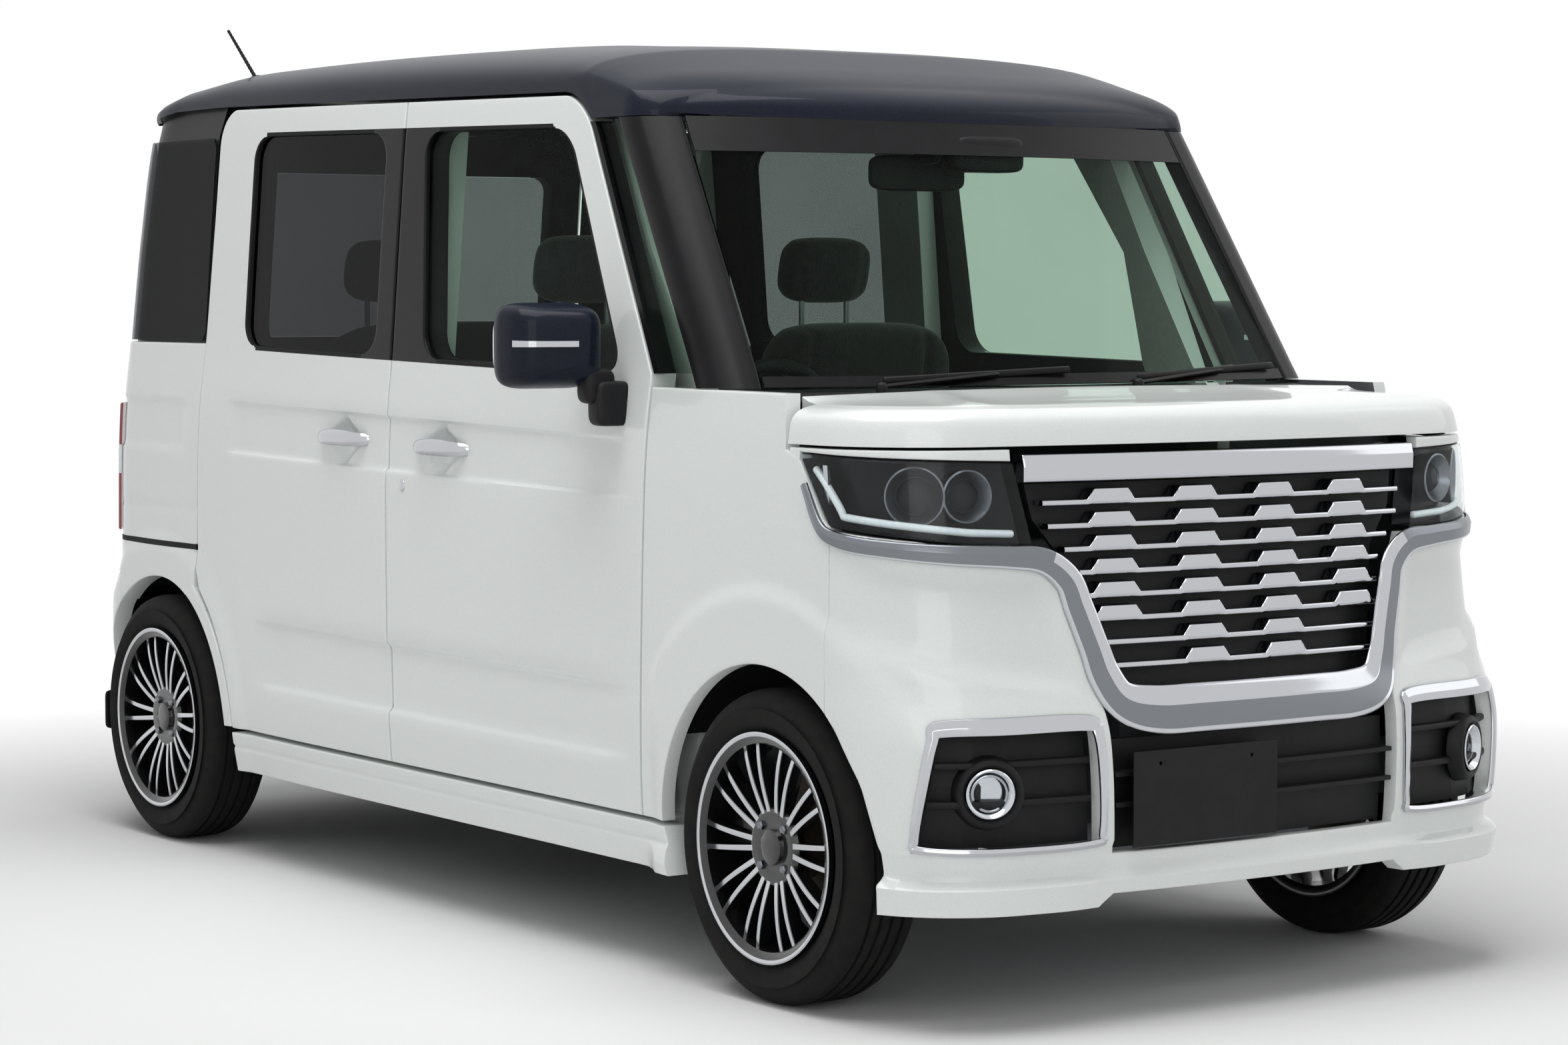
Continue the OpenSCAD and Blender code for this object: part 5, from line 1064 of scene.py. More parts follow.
def band_mesh(path, base=2.0, height=9.0, peak=0.25, closed=False, steps=8, satin=None):
    """Bright band on the nose along marks of run, height and half width: a two-faceted ridge with round edges.

    Its mask of run and side picks the cells of the second finish, darker chrome painted as shade; side is -1 at the
    lower edge and 1 at the upper one.
    """
    p = np.asarray(path, float)
    last = len(p) if closed else len(p) - 1
    wide = np.concatenate([p[-2:], p, p[:3]]) if closed else p
    marks = np.arange(len(wide)) - (2 if closed else 0)
    fine = np.linspace(0, last, steps * last + 1)[: -1 if closed else None]
    s, z, half = (curve(fine, np.stack([marks, column], -1)) for column in wide.T)
    ds, dz = (np.roll(v, -1) - np.roll(v, 1) if closed else np.gradient(v) for v in (s, z))
    size = np.hypot(ds, dz)
    ns, nz = -dz / size, ds / size
    r = np.sort([-1, -0.97, -0.9, -0.75, -0.5, peak - 0.3, peak - 0.06, peak, peak + 0.06, 0.6, 0.8, 0.92, 0.97, 1])
    facet = np.where(r < peak, (r + 1) / (peak + 1), (1 - r) / (1 - peak))
    rise = base + height * (0.55 + 0.45 * facet) * np.sqrt(np.clip((1 - np.abs(r)) / 0.1, 0, 1))
    a, b = s + r[:, None] * half * ns, z + r[:, None] * half * nz
    # Cells that the mask picks take the second finish; on the grille band that is darker chrome, painted shade
    mats = 0 if satin is None else satin(s[None, :-1], (r[1:, None] + r[:-1, None]) / 2).astype(int)
    return wall(nose, a, b, -rise[:, None], 0.5 - base, None, mats, closed=closed)


class MICROVAN_OT_front(Operator):
    """Fenders, front bumper, bonnet and scuttle"""

    bl_idname = "microvan.front"
    bl_label = "Front panels"

    def execute(self, context):
        white = use("pearl_white_lacquer", "grey_primer", "pressed_steel")
        piece("fender_skins", both(fender_mesh()), white, "body", ["fenders"])
        piece("front_bumper_skin", bumper_mesh(), white, "body", ["front_bumper"])
        v = np.linspace(0, 7, 64)[:, None]
        n = np.arange(8)
        rise, inset, back = (curve(v, np.stack([n, c], -1).astype(float)) for c in (
            [0, 35, 50, 60, 66, 70, 76, COWL - BONNET_EDGE], [0, 3, 10, 26, 52, 60, 60, 60],
            [0, 0, 0, 0, 0, 0.3, 0.65, 1]))
        u = np.sin(np.linspace(-math.pi / 2, math.pi / 2, 101))[None]
        z = BONNET_EDGE + rise
        run = nose_run(FRONT_AXLE - 66 - GAP, z)

        def sheet(e):
            """Face of the bonnet at a depth: the nose that turns into a flat lid with two creases."""
            lower, upper = np.clip((v - 2) / 2, 0, 1), np.clip(v - 4, 0, 1)
            inward = e * (1 - 0.4 * lower - 0.6 * upper)
            p = nose(u * run, z + 0 * u, inset + inward + 0 * u)
            q = grid(u * (half_at(COWL) - 60), BONNET_REAR, z - 8 * u * u)
            p = mix(p, q, np.clip(back, 0, 1)[..., None])
            crease = 5 * np.exp(-((np.abs(u) - 0.56) / 0.05) ** 2) * ease((v - 3) / 2) * ease((7.4 - v) / 1.5)
            p[..., 2] += crease * (e == 0) - e * (0.8 * lower + 0.2 * upper)
            return p

        top = sheet(0.0)
        top[..., 2] -= roll(least(v / 7 * 430, (1 - np.abs(u)) * 700)) * 0.5
        y, h = BONNET_REAR - 6, COWL - 17
        pins = [painted(rod((x - 30, y, h), (x + 30, y, h), 4.0, 14), 2) for x in BONNET_PINS]
        mesh = join(solid(top, sheet(22.0), inner_mat=1), *pins)
        piece("bonnet_skin", mesh, white, "bonnet", ["bonnet"])
        eyes = []
        for x in BONNET_PINS:
            eyes += [rod((x - 18, y, h), (x + 18, y, h), 8.0, 16),
                     rod((x, y, h - 5), (x, BONNET_REAR + 30, h - 5), 5.0, 12, (3.2, 0.8))]
        half = half_at(COWL) - 62
        x = np.linspace(-half, half, 81)
        r = lanes([0.0, 1.0], [14])[:, None]
        y = mix(BONNET_REAR + 18, screen_y(COWL) + SCREEN_CROWN * x * x - 4, r)
        slats = 3 * np.maximum(0, np.sin(r * 24)) * plateau(r, 0.25, 0.8, 0.1) * plateau(np.abs(x), 90, 560, 40)
        z = COWL - 18 + 12 * r - slats
        mesh = solid(grid(x, y, z), grid(x, y, z - 38))
        piece("scuttle_cover", join(mesh, *eyes), use("black_moulded_abs"), "body", ["cowl"])
        return {"FINISHED"}


class MICROVAN_OT_rear(Operator):
    """Rear bumper, tailgate with spoiler and glass, tail lamps, skirts"""

    bl_idname = "microvan.rear"
    bl_label = "Rear panels"

    def execute(self, context):
        white = use("pearl_white_lacquer", "dash_vinyl", "night_blue_lacquer", "black_rubber", "pressed_steel")
        z = lanes([BUMPER_LOW, REAR_BUMPER_TOP], [34])[:, None]
        end = tail_run(np.maximum(QUARTER_JOINT + 1, REAR_AXLE + chord(ARCH, z)), z)
        w = np.concatenate([1 - EDGE / 900, np.linspace(0.985, 0, 46)])
        s = end * np.concatenate([w, -w[-2::-1]])
        step = 7 * plateau(z, BUMPER_LOW + 60, BUMPER_LOW + 150, 30)
        mesh = wall(tail, s, z, roll(least(from_ends(z), end - np.abs(s))) + step, 40, inner_mat=1)
        piece("rear_bumper_skin", mesh, white, "body", ["rear_bumper"])
        rows, cols = (40, 8, 14, 8, 10), (8, 30, 8)
        low, high = BELT + 40, WINDOW_TOP - 20
        z = lanes([REAR_BUMPER_TOP + GAP + 2, low, low + 40, high - 40, high, FRAME_TOP + 15], rows)
        inner = GATE_HALF - 100 - round_off(z, low, high, 40)
        edge = GATE_HALF + 0 * z
        s = lanes([-edge, -inner, inner, edge], cols)[:, ::-1]
        zz = z[:, None] + 0 * s
        keep = np.ones((len(z) - 1, s.shape[1] - 1), bool)
        i0, i1 = lane_start(rows, 1), lane_start(rows, 4)
        j0, j1 = lane_start(cols, 1), lane_start(cols, 2)
        keep[i0:i1, j0:j1] = False
        window = np.hypot(np.maximum(np.abs(s) - inner[:, None], 0), most(low - zz, zz - high, 0))
        near = least(zz - z[0], GATE_HALF - np.abs(s), window)
        recess = 14 * plateau(zz, REAR_BUMPER_TOP + 40, REAR_BUMPER_TOP + 260, 30) * plateau(np.abs(s), -400, 260, 50)
        mats = np.zeros(keep.shape, int)
        mats[i0:] = 2
        mats[(window[:-1, :-1] + window[1:, 1:]) / 2 < 9] = 3
        mesh = wall(tail, s, zz, roll(near) + recess, 50, keep, mats, inner_mat=1)
        u = np.sin(np.linspace(-1.12, 1.12, 90))[None]
        y = lanes([ROOF_REAR + 11, ROOF_REAR + 150], [20])[:, None]
        top = roof(u, y, 0)
        under = top - [0, 0, 1] * (42 * (1.4 - (y - ROOF_REAR) / 150))[..., None]
        top[..., 2] += 4 * ease((y - ROOF_REAR - 60) / 90) - roll(from_ends(y), 4)
        spoiler = painted(solid(top, under), 2)
        z0 = REAR_BUMPER_TOP + 150
        plate = pad((0, float(tail_end(z0)) - 14, z0), (380, 34, 190), 14.0, (24, 40))
        y, h = ROOF_REAR + 70, FRAME_TOP + 48
        pins = [painted(rod((x - 26, y, h), (x + 26, y, h), 4.0, 14), 4) for x in GATE_PINS]
        piece("tailgate_skin", join(mesh, spoiler, plate, *pins), white, "tailgate", ["tailgate"])
        z = lanes([low + 0.6, high - 0.6], [24])[:, None]
        half = GATE_HALF - 100.6 - round_off(z, low, high, 40)
        pane = wall(tail, half * np.linspace(1, -1, 60), z, 4, 4 + GLASS)
        piece("tailgate_pane", pane, use("privacy_glass"), "tailgate", ["tailgate_glass"])
        z = lanes([REAR_BUMPER_TOP + 100, REAR_BUMPER_TOP + 400], [24])[:, None]
        w = lanes([0.0, 92.0], [12])[::-1]
        near = least(w, 92 - w, from_ends(z))
        clear = (z[:-1] > REAR_BUMPER_TOP + 230) & (z[:-1] < REAR_BUMPER_TOP + 290)
        lens = wall(tail, GATE_HALF + 24 + w, z, roll(near, 6) - 12, -4, None, clear)
        piece("tail_lamp_lenses", both(lens), use("red_acrylic", "acrylic_light_guide"), "body", ["tail_lamps"])
        rear_end = REAR_AXLE - ARCH - 48
        z = lanes([SKIRT_BOTTOM, SILL - 2], [20])[:, None]
        f = FRONT_AXLE + 285 + 30 * (z - SKIRT_BOTTOM) / 90
        y = mix(f, rear_end, lanes([0.0, 1400.0], [50]) / 1400)
        near = least(from_ends(z), y - f, rear_end - y)
        flick = 26 * ease((FRONT_AXLE + 420 - y) / 110) * ease((SKIRT_BOTTOM + 74 - z) / 60)
        groove = 3 * plateau(z, SKIRT_BOTTOM + 52, SKIRT_BOTTOM + 60, 5)
        mesh = wall(side, y, z, roll(near) - 4 - flick + groove, 46, inner_mat=1)
        piece("side_skirt_skins", both(mesh), use("pearl_white_lacquer", "grey_primer"), "body", ["side_skirts"])
        return {"FINISHED"}


def screen_band(z, margin, front, back):
    """Strip across the windscreen between the pillars, over rows of heights."""
    z = z[:, None]
    return wall(screen, (pillar_start(z) - margin) * np.linspace(-1, 1, 61), z, front, back)


class MICROVAN_OT_roof(Operator):
    """Roof, windscreen pillars and front glass"""

    bl_idname = "microvan.roof"
    bl_label = "Roof and windscreen"

    def execute(self, context):
        u = np.sin(np.linspace(-math.pi / 2, math.pi / 2, 101))[None]
        length = ROOF_REAR - float(roof_front(1.0))
        v = np.concatenate([BROW_LENGTH * np.linspace(0, 1, 22) ** 2, np.arange(140, 310, 9.0),
                            np.linspace(320, length - 12, 46), length - EDGE[::-1]])[:, None] / length
        y = mix(roof_front(u), ROOF_REAR, v)
        outer = roof(u, y, 0)
        ribs = sum(2.5 * np.exp(-((u * 640 - x) / 16.0) ** 2) for x in (-330, -110, 110, 330))
        outer[..., 2] += ribs * plateau(v, 0.25, 0.9, 0.12) - roll(np.minimum(v, 1 - v) * length)
        mesh = solid(outer, roof(u, y, 1), inner_mat=1)
        h = FRAME_TOP + 50
        brackets = [painted(rod((x, ROOF_REAR - 8, h), (x, ROOF_REAR + 70, h), 9, 12, (1.5, 0.9), 8), 2)
                    for x in GATE_PINS]
        piece("roof_skin", join(mesh, *brackets), use("night_blue_lacquer", "grey_felt", "pressed_steel"), "body",
              ["roof_panel"])
        z = lanes([COWL + 2, FRAME_TOP - BROW_DROP - 1.5], [40])[:, None]
        s = mix(pillar_start(z) - 30, pillar_run(pillar_side_y(z) + 22, z), lanes([0.0, 150.0], [14]) / 150)
        mesh = wall(pillar, s, z, 0.5 + roll(np.minimum(s - s[:, :1], s[:, -1:] - s), 6), 42)
        z = lanes([BELT + 2, FRAME_TOP - BROW_DROP - 6], [40])[:, None]
        y = door_front(z) - mix(24, GAP + 1, np.linspace(0, 1, 6))
        post = wall(side, y, z, 1, 40)
        piece("windscreen_pillars", both(join(mesh, post)), use("black_gloss_film"), "body", ["a_pillars"])
        pane = screen_band(np.linspace(COWL + 4, FRAME_TOP - 46, 40), 33, 3, 3 + GLASS)
        z = np.linspace(BELT + 4, FRAME_TOP - BROW_DROP - 10, 36)[:, None]
        y = mix(pillar_side_y(z) + 26, door_front(z) - 27, np.linspace(0, 1, 12))
        keep = (y[:, -1] - y[:, 0]) > 4
        y, z = y[keep], z[keep]
        corner = wall(side, y, z, 8, 8 + GLASS)
        # Black ceramic print along the upper and the lower edge
        fade = screen_band(np.linspace(FRAME_TOP - 105, FRAME_TOP - BROW_DROP + 1, 9), 36, 1.6, 2.6)
        frit = screen_band(np.linspace(COWL + 5, COWL + 24, 4), 36, 1.6, 2.6)
        piece("front_panes", join(pane, both(corner), painted(join(fade, frit), 1)),
              use("green_float_glass", "black_gloss_film"), "body", ["front_glass"])
        return {"FINISHED"}


def on_fog_lamp(mesh):
    """The mesh turned from the X axis to the axis of the fog lamp and set at its centre."""
    centre = nose(np.array(575.0), np.array(mix(FOG_LOW, FOG_TOP, 0.45)), 0.0) + [-4, 6, 0]
    return turned(mesh, math.radians(90 + 25), centre)


class MICROVAN_OT_grille(Operator):
    """Chrome band, bars with bright blocks, fog lamp frames and the intake"""

    bl_idname = "microvan.grille"
    bl_label = "Grille and intake"

    def execute(self, context):
        sizes = context.scene.microvan_sizes
        low = CHIN - 45
        path = np.array([
            [float(nose_run(FRONT_AXLE - 132, BONNET_EDGE - 70.0)), BONNET_EDGE - 70, 9],
            [float(nose_run(FRONT_AXLE - 176, LAMP + 34.0)), LAMP + 30, 12], [800, LAMP + 6, 15], [700, LAMP - 6, 16],
            [600, LAMP - 14, 18], [500, LAMP - 20, 20], [430, LAMP - 28, 24], [384, LAMP - 62, 28],
            [366, LAMP - 110, 30], [342, low + 110, 31], [326, low + 60, 34], [296, low + 16, 38], [230, low, 42],
            [120, low - 1, 42]])
        path = np.concatenate([path * [-1, 1, 1], path[::-1]])
        # Painted reflection shade: a grey facet of darker chrome with a bright lower edge all along; round the grille
        # the inner facet is bright too
        band = band_mesh(path, base=2.5, height=8,
                         satin=lambda run, side: (side > -0.72) & ((side < 0.2) | (np.abs(run) > 420)))
        z = lanes([BONNET_EDGE - 64, BONNET_EDGE - 16], [12])[:, None]
        s = np.sin(np.linspace(-1.5, 1.5, 81)) * 460
        ridge = 4 * (1 - np.abs((z - BONNET_EDGE + 36) / 28).clip(0, 1))
        bar = wall(nose, s, z, roll(least(from_ends(z), 460 - np.abs(s)), 5) - 4 - ridge, 24)
        piece("grille_surround_trim", join(band, bar), use("chrome_plate", "satin_and_shaded_chrome"), "body",
              ["grille_surround"])
        count, pitch = sizes.bars, sizes.block_pitch / MM
        step = (LAMP + 108 - CHIN - 30) / count
        bars = []
        for n in range(count):
            z0 = CHIN + 27 + step * n
            half = float(grille_half(z0)) - 34
            reach = math.floor((half - 54) / pitch + 0.5)
            middles = (np.arange(-reach, reach) + 0.5) * pitch
            marks = (middles[:, None] + [-50, -45, -41, -37, -34, 0, 34, 37, 41, 45, 50]).ravel()
            s = np.sort(np.concatenate([[-half, half], np.linspace(-half, half, 41), marks]))
            inside = (50 - np.abs(s[:, None] - middles).min(-1)) / 14
            tall = mix(10, 28, np.clip(inside, 0, 1))
            r = np.array([0, 0.03, 0.1, 0.25, 0.5, 0.75, 0.9, 0.97, 1])[:, None]
            face = 5 + roll(from_ends(r) * tall, 4) + (7 * (1 - r) - 3) * ease(inside)
            bars.append(wall(nose, s, z0 + r * tall, face, 31))
        piece("grille_bar_trim", join(*bars), use("chrome_plate"), "body", ["grille_bars"])
        mid = (FOG_LOW + FOG_TOP) / 2
        g = [float(grille_half(h)) for h in (FOG_LOW, mid, FOG_TOP)]
        loop = [[g[0] + 44, FOG_LOW + 4, 7], [540, FOG_LOW + 1, 7], [690, FOG_LOW + 6, 7], [704, FOG_LOW + 24, 8],
                [692, mid, 9], [672, FOG_TOP - 28, 10], [652, FOG_TOP - 9, 14], [520, FOG_TOP - 7, 15],
                [g[2] + 42, FOG_TOP - 9, 14], [g[2] + 26, FOG_TOP - 28, 10], [g[1] + 24, mid, 8],
                [g[0] + 28, FOG_LOW + 24, 7]]
        bezel = band_mesh(loop, base=2, height=7, peak=0.0, closed=True)
        piece("fog_lamp_bezels", both(bezel), use("chrome_plate"), "body", ["fog_bezels"])
        coat("black_moulded_abs", "grille_backing", "lower_intake", "front_plate")
        slats = []
        for k in (0.34, 0.64):
            z0 = mix(FOG_LOW, FOG_TOP, k)
            s = np.linspace(float(grille_half(z0)) + 40, float(fog_out(z0)) - 8, 40)
            r = lanes([0.0, 12.0], [4])[:, None]
            slats.append(wall(nose, s, z0 + r, 14 + roll(from_ends(r), 4), 30))
        boss = lathe([[30, 40], [30, 64], [8, 60], [3, 55], [2, 50], [6, 45], [20, 43]], 48, closed=True)
        slats.append(on_fog_lamp(boss))
        piece("fog_recess_slats", both(join(*slats)), use("black_moulded_abs"), "body", (), recalc=True)
        return {"FINISHED"}


class MICROVAN_OT_lamps(Operator):
    """Headlamps with housing, projector and light guides, and fog lamps"""

    bl_idname = "microvan.lamps"
    bl_label = "Lamps"

    def execute(self, context):
        end = float(lamp_end())
        bend = float(nose_run(FRONT_AXLE - 194, LAMP + 38.0))
        r = lanes([0.0, 130.0], [12])[:, None] / 130
        s = np.concatenate([474 + EDGE[:-1], np.linspace(486, bend, 60), np.linspace(bend, end, 24)[1:]])[None]
        top = lamp_top(s)
        low = np.where(s < bend, lamp_low(s) + 2, mix(LAMP + 38, BONNET_EDGE - 26, (s - bend) / (end - bend)))
        z = mix(low, top, r)
        start = line(z, [LAMP - 4, 446], [BONNET_EDGE - 31, 476])
        run = np.where(s < 560, mix(start, 560, (s - 474) / 86), s + 0 * z)
        near = least(z - low, top - z, run - start)
        lens = wall(nose, run, z, roll(near, 5) - 1, 4)
        # Back, floor and roof of the housing
        meshes = [wall(nose, run, z, 46, 52)]
        reach = np.array([4.5, 45.9])[:, None]
        for row, shifts in ((0, (0, -1.5)), (-1, (1.5, 0))):
            meshes.append(solid(*(nose(*np.broadcast_arrays(run[row], z[row] + k, reach)) for k in shifts)))
        guide_s = np.concatenate([np.linspace(478, bend - 26, 50), np.linspace(bend - 26, bend + 46, 16)[1:]])
        rise = np.clip((guide_s - bend + 26) / 72, 0, 1) ** 0.8
        guide_z = np.where(guide_s < bend - 26, lamp_low(guide_s) + 20,
                           mix(lamp_low(bend - 26) + 20, BONNET_EDGE - 44, rise))
        meshes.append(painted(tube(nose(guide_s, guide_z, 18), 7.0, 12), 1))
        for at, radius in ((560.0, 40.0), (660.0, 46.0)):
            centre, behind = (nose(np.array(at), np.array(LAMP + 84.0), depth) for depth in (22.0, 60.0))
            axis = behind - centre
            profile = [[34, 0.01], [34, radius + 4], [-4, radius + 6], [-6, radius + 3], [-2, radius],
                       [16, radius * 0.72], [14, radius * 0.7], [4, radius * 0.5], [0, radius * 0.25], [-1, 0.01]]
            projector = lathe(profile, 40, 6 * [2] + 3 * [3])
            meshes.append(turned(projector, math.atan2(axis[1], axis[0]), centre))
        turn_s = np.linspace(bend + 8, end - 46, 20)
        t_low = mix(LAMP + 38, BONNET_EDGE - 26, (turn_s - bend) / (end - bend)) + 16
        t_z = mix(t_low, BONNET_EDGE - 36, np.linspace(0, 1, 10)[:, None])
        meshes.append(painted(wall(nose, turn_s, t_z, 14, 20), 4))
        kinds = use("black_gloss_film", "acrylic_light_guide", "satin_and_shaded_chrome", "clear_polycarbonate",
                    "lamp_reflector")
        piece("headlamp_insides", both(join(*meshes)), kinds, "body", (), recalc=True)
        profile = [[26, 0.01], [26, 40], [2, 43], [0, 41], [2, 38], [14, 30], [12, 28], [6, 20], [3, 8], [2, 0.01]]
        fog = on_fog_lamp(lathe(profile, 48, 6 * [1] + 3 * [0]))
        piece("lamp_lenses", both(join(lens, fog)), use("clear_polycarbonate", "lamp_reflector"), "body",
              ["front_lamps"])
        return {"FINISHED"}


class MICROVAN_OT_mirrors(Operator):
    """Door mirrors, wipers and aerial"""

    bl_idname = "microvan.mirrors"
    bl_label = "Mirrors, wipers and aerial"

    def execute(self, context):
        x0 = float(side(np.array(DOOR_Y + 85.0), np.array(BELT - 60.0), 0.0)[0])
        y0, z0 = DOOR_Y + 62, BELT - 25

        def head(px, py, pz, half, sweep):
            """Point of the mirror head by its place on a rounded block: narrow in front and swept back outward."""
            back = (py + 1) / 2
            wide = mix(0.84, 1.0, np.clip(back * 1.6, 0, 1) ** 0.6)
            return grid(x0 + 121 + half * px * wide, y0 + 76 + 72 * py + sweep * (px + 1) / 2 * (1 - back),
                        z0 + 77 + 80 * pz * wide)

        v = np.linspace(-math.pi / 2, math.pi / 2, 40)[:, None]
        a = np.linspace(-math.pi, math.pi, 64, endpoint=False)[::-1]
        waist = soft(np.cos(v), 0.3)
        px, pz = (waist * soft(f(a), 0.36) for f in (np.cos, np.sin))
        shell = skin(head(px, soft(np.sin(v), 0.7), pz, 94, 32.2), closed_u=True)
        foot = painted(pad((x0 + 24, y0 + 24, z0 - 30), (76, 46, 84), 5.0), 1)
        arm = painted(pad((x0 + 46, y0 + 36, z0 + 2), (66, 48, 66), 4.0), 1)
        r = np.linspace(0.02, 1, 10)[:, None]
        glass = grid(x0 + 121 + 80 * r * soft(np.cos(a), 0.5), y0 + 150 - 2 * r * r,
                     z0 + 77 + 66 * r * soft(np.sin(a), 0.5))
        silver = painted(solid(glass, glass - [0, 5, 0], closed=True), 2)
        sx, sz = np.linspace(-0.3, 0.985, 40), np.linspace(-0.02, 0.14, 8)[:, None]
        across = (np.abs(sx) ** 5.56 + np.abs(sz) ** 5.56) ** 0.18
        front = head(sx, -np.sqrt(np.maximum(0, 1 - across ** 6.67)) ** 0.7, sz, 95, 32)
        strip = painted(solid(front - [0, 2.5, 0], front + [-3, 5, 0]), 3)
        mesh = join(shell, foot, arm, silver, strip)
        kinds = use("night_blue_lacquer", "black_moulded_abs", "silvered_glass", "chrome_plate")
        for name, turn in SIDES:
            piece("mirror_cap_" + name, turn(mesh), kinds, "door_" + name, ["mirror_" + name])
        arms = []
        for x in (-420.0, 160.0):
            base = np.array([x, screen_y(COWL) + SCREEN_CROWN * x * x - 22, COWL - 20])
            blade = [screen(np.array(x + k), np.array(COWL + h), 0.0) - [0, 12, 0]
                     for k, h in ((20, 14.0), (430, 30.0))]
            arms += [rod(base, base + [0, 0, 26], 11, 16, marks=4),
                     rod(base + [0, 0, 24], mix(blade[0], blade[1], 0.6), 6, 10, (1.3, 0.7), 12),
                     rod(blade[0] + [0, 2, 0], blade[1] + [0, 2, 0], 5, 8, (0.9, 1.4), 24)]
        piece("wiper_arms", join(*arms), use("black_moulded_abs"), "body", ["wipers"])
        p = roof(np.array(-0.68), np.array(ROOF_REAR - 190.0), 0)
        t, lean = np.linspace(0, 1, 60), math.radians(50)
        whip = p + 205 * t[:, None] * [0, math.sin(lean), math.cos(lean)]
        rib = 4.5 * (1 - 0.25 * t) + 0.5 * np.sin(t * 110)
        mesh = join(tube(whip, rib, 12), pad(p + [0, 6, 4], (34, 62, 34), 2.6))
        piece("aerial_rod", mesh, use("black_rubber"), "body", ["antenna"])
        return {"FINISHED"}


def wheel_mesh(pairs, tread):
    """Tyre and rim of one left wheel about the origin: turned sections, grooves and paired spokes."""
    b, h, r = RIM_R, TYRE_W / 2, TYRE_R
    tyre = [[-h + 22, b - 12], [-h + 12, b + 2], [-h + 5, b + 12], [-h + 1, b + 28], [-h, b + 40], [-h + 3, r - 40],
            [-h + 6, r - 32], [-h + 6, r - 30], [-h + 8, r - 24], [-h + 14, r - 13], [-h + 20, r - 6],
            [-h + 30, r - 2]]
    for x in (-36.0, -12.0, 12.0, 36.0):
        tyre += [[x - 5, r], [x - 4, r - 1], [x - 3.4, r - tread], [x + 3.4, r - tread], [x + 4, r - 1], [x + 5, r]]
    tyre += [[-x, q] for x, q in tyre[11::-1]]
    rubber = lathe(tyre, 120, closed=True)
    barrel = [[-h + 10, b - 14.5], [-h + 2, b - 1], [-h + 2, b - 10], [-h + 8, b - 22], [-20, b - 26], [40, b - 24],
              [h - 8, b - 22], [h - 3, b - 17], [h - 1, b - 9], [h + 1, b - 4], [h, b - 1], [h - 10, b - 1],
              [h - 12, b - 13]]
    parts = [lathe(barrel, 120, 8 * [1] + 2 * [2] + 3 * [1], closed=True)]
    face = 37
    disc = [[0, 0.01], [0, 70], [0, 74], [14, 73], [20, 68], [22, 60], [18, 40], [18, 33], [26, 31], [28, 27],
            [29, 14], [29.5, 0.01]]
    parts.append(moved(lathe(disc, 96, 1), (face, 0, 0)))
    q = np.linspace(0, 1, 16)[:, None]
    w = np.array([-1, -0.96, -0.8, -0.5, 0, 0.5, 0.8, 0.96, 1])
    radius = mix(56, b - 19, q)
    rise = face + 20 + 10 * np.sin(q * math.pi * 0.75) - roll((1 - np.abs(w)) * 6, 2.0)
    # Turned face, black flanks
    mats = np.where(np.abs(w[1:] + w[:-1]) / 2 < 0.88, 2, 1)
    for n in range(pairs):
        for k in (-1, 1):
            across = k * mix(8, 21, q) + w * mix(6.2, 5.2, q)
            c, s = math.cos(2 * math.pi * n / pairs), math.sin(2 * math.pi * n / pairs)
            outer, inner = (grid(x, radius * c - across * s, radius * s + across * c) for x in (rise, face + 2))
            parts.append(solid(outer, inner, None, mats, inner_mat=1))
    nut = lathe([[8, 0.01], [8, 9.0], [24, 9.0], [27, 6.0], [27, 0.01]], 6, 3)
    for turn in np.radians([45, 135, 225, 315]):
        parts.append(moved(nut, (face, 50 * math.cos(turn), 50 * math.sin(turn))))
    return rubber, join(*parts)


class MICROVAN_OT_wheels(Operator):
    """Tyres with grooves, black rims with turned spokes, caps and nuts"""

    bl_idname = "microvan.wheels"
    bl_label = "Wheels"

    def execute(self, context):
        sizes = context.scene.microvan_sizes
        rubber, rim = wheel_mesh(sizes.spoke_pairs, sizes.tread / MM)
        for end, y in (("front", FRONT_AXLE), ("rear", REAR_AXLE)):
            for name, turn in SIDES:
                spot = (WHEEL_X, y, WHEEL_Z)
                body = f"wheel_{end}_{name}"
                piece(f"tyre_{end}_{name}_treaded", turn(moved(rubber, spot)), use("tyre_rubber"), body,
                      [f"tyre_{end}_{name}"], recalc=True)
                piece(f"rim_{end}_{name}_turned", turn(moved(rim, spot)),
                      use("black_wheel_enamel", "black_wheel_enamel", "turned_aluminium", "satin_and_shaded_chrome"), body,
                      [f"rim_{end}_{name}"], recalc=True)
        coat("turned_cast_iron", "hub_front_left", "hub_front_right", "drum_rear_left", "drum_rear_right")
        coat("cast_aluminium", "knuckle_left", "knuckle_right")
        return {"FINISHED"}


FILL_FRAMES = 20


def coords(data):
    """Points of a mesh as rows."""
    flat = np.empty(3 * len(data.vertices), np.float32)
    data.vertices.foreach_get("co", flat)
    return flat.reshape(-1, 3)


def evaluated(obj):
    """The object with its modifiers, as it now is."""
    return obj.evaluated_get(bpy.context.evaluated_depsgraph_get())


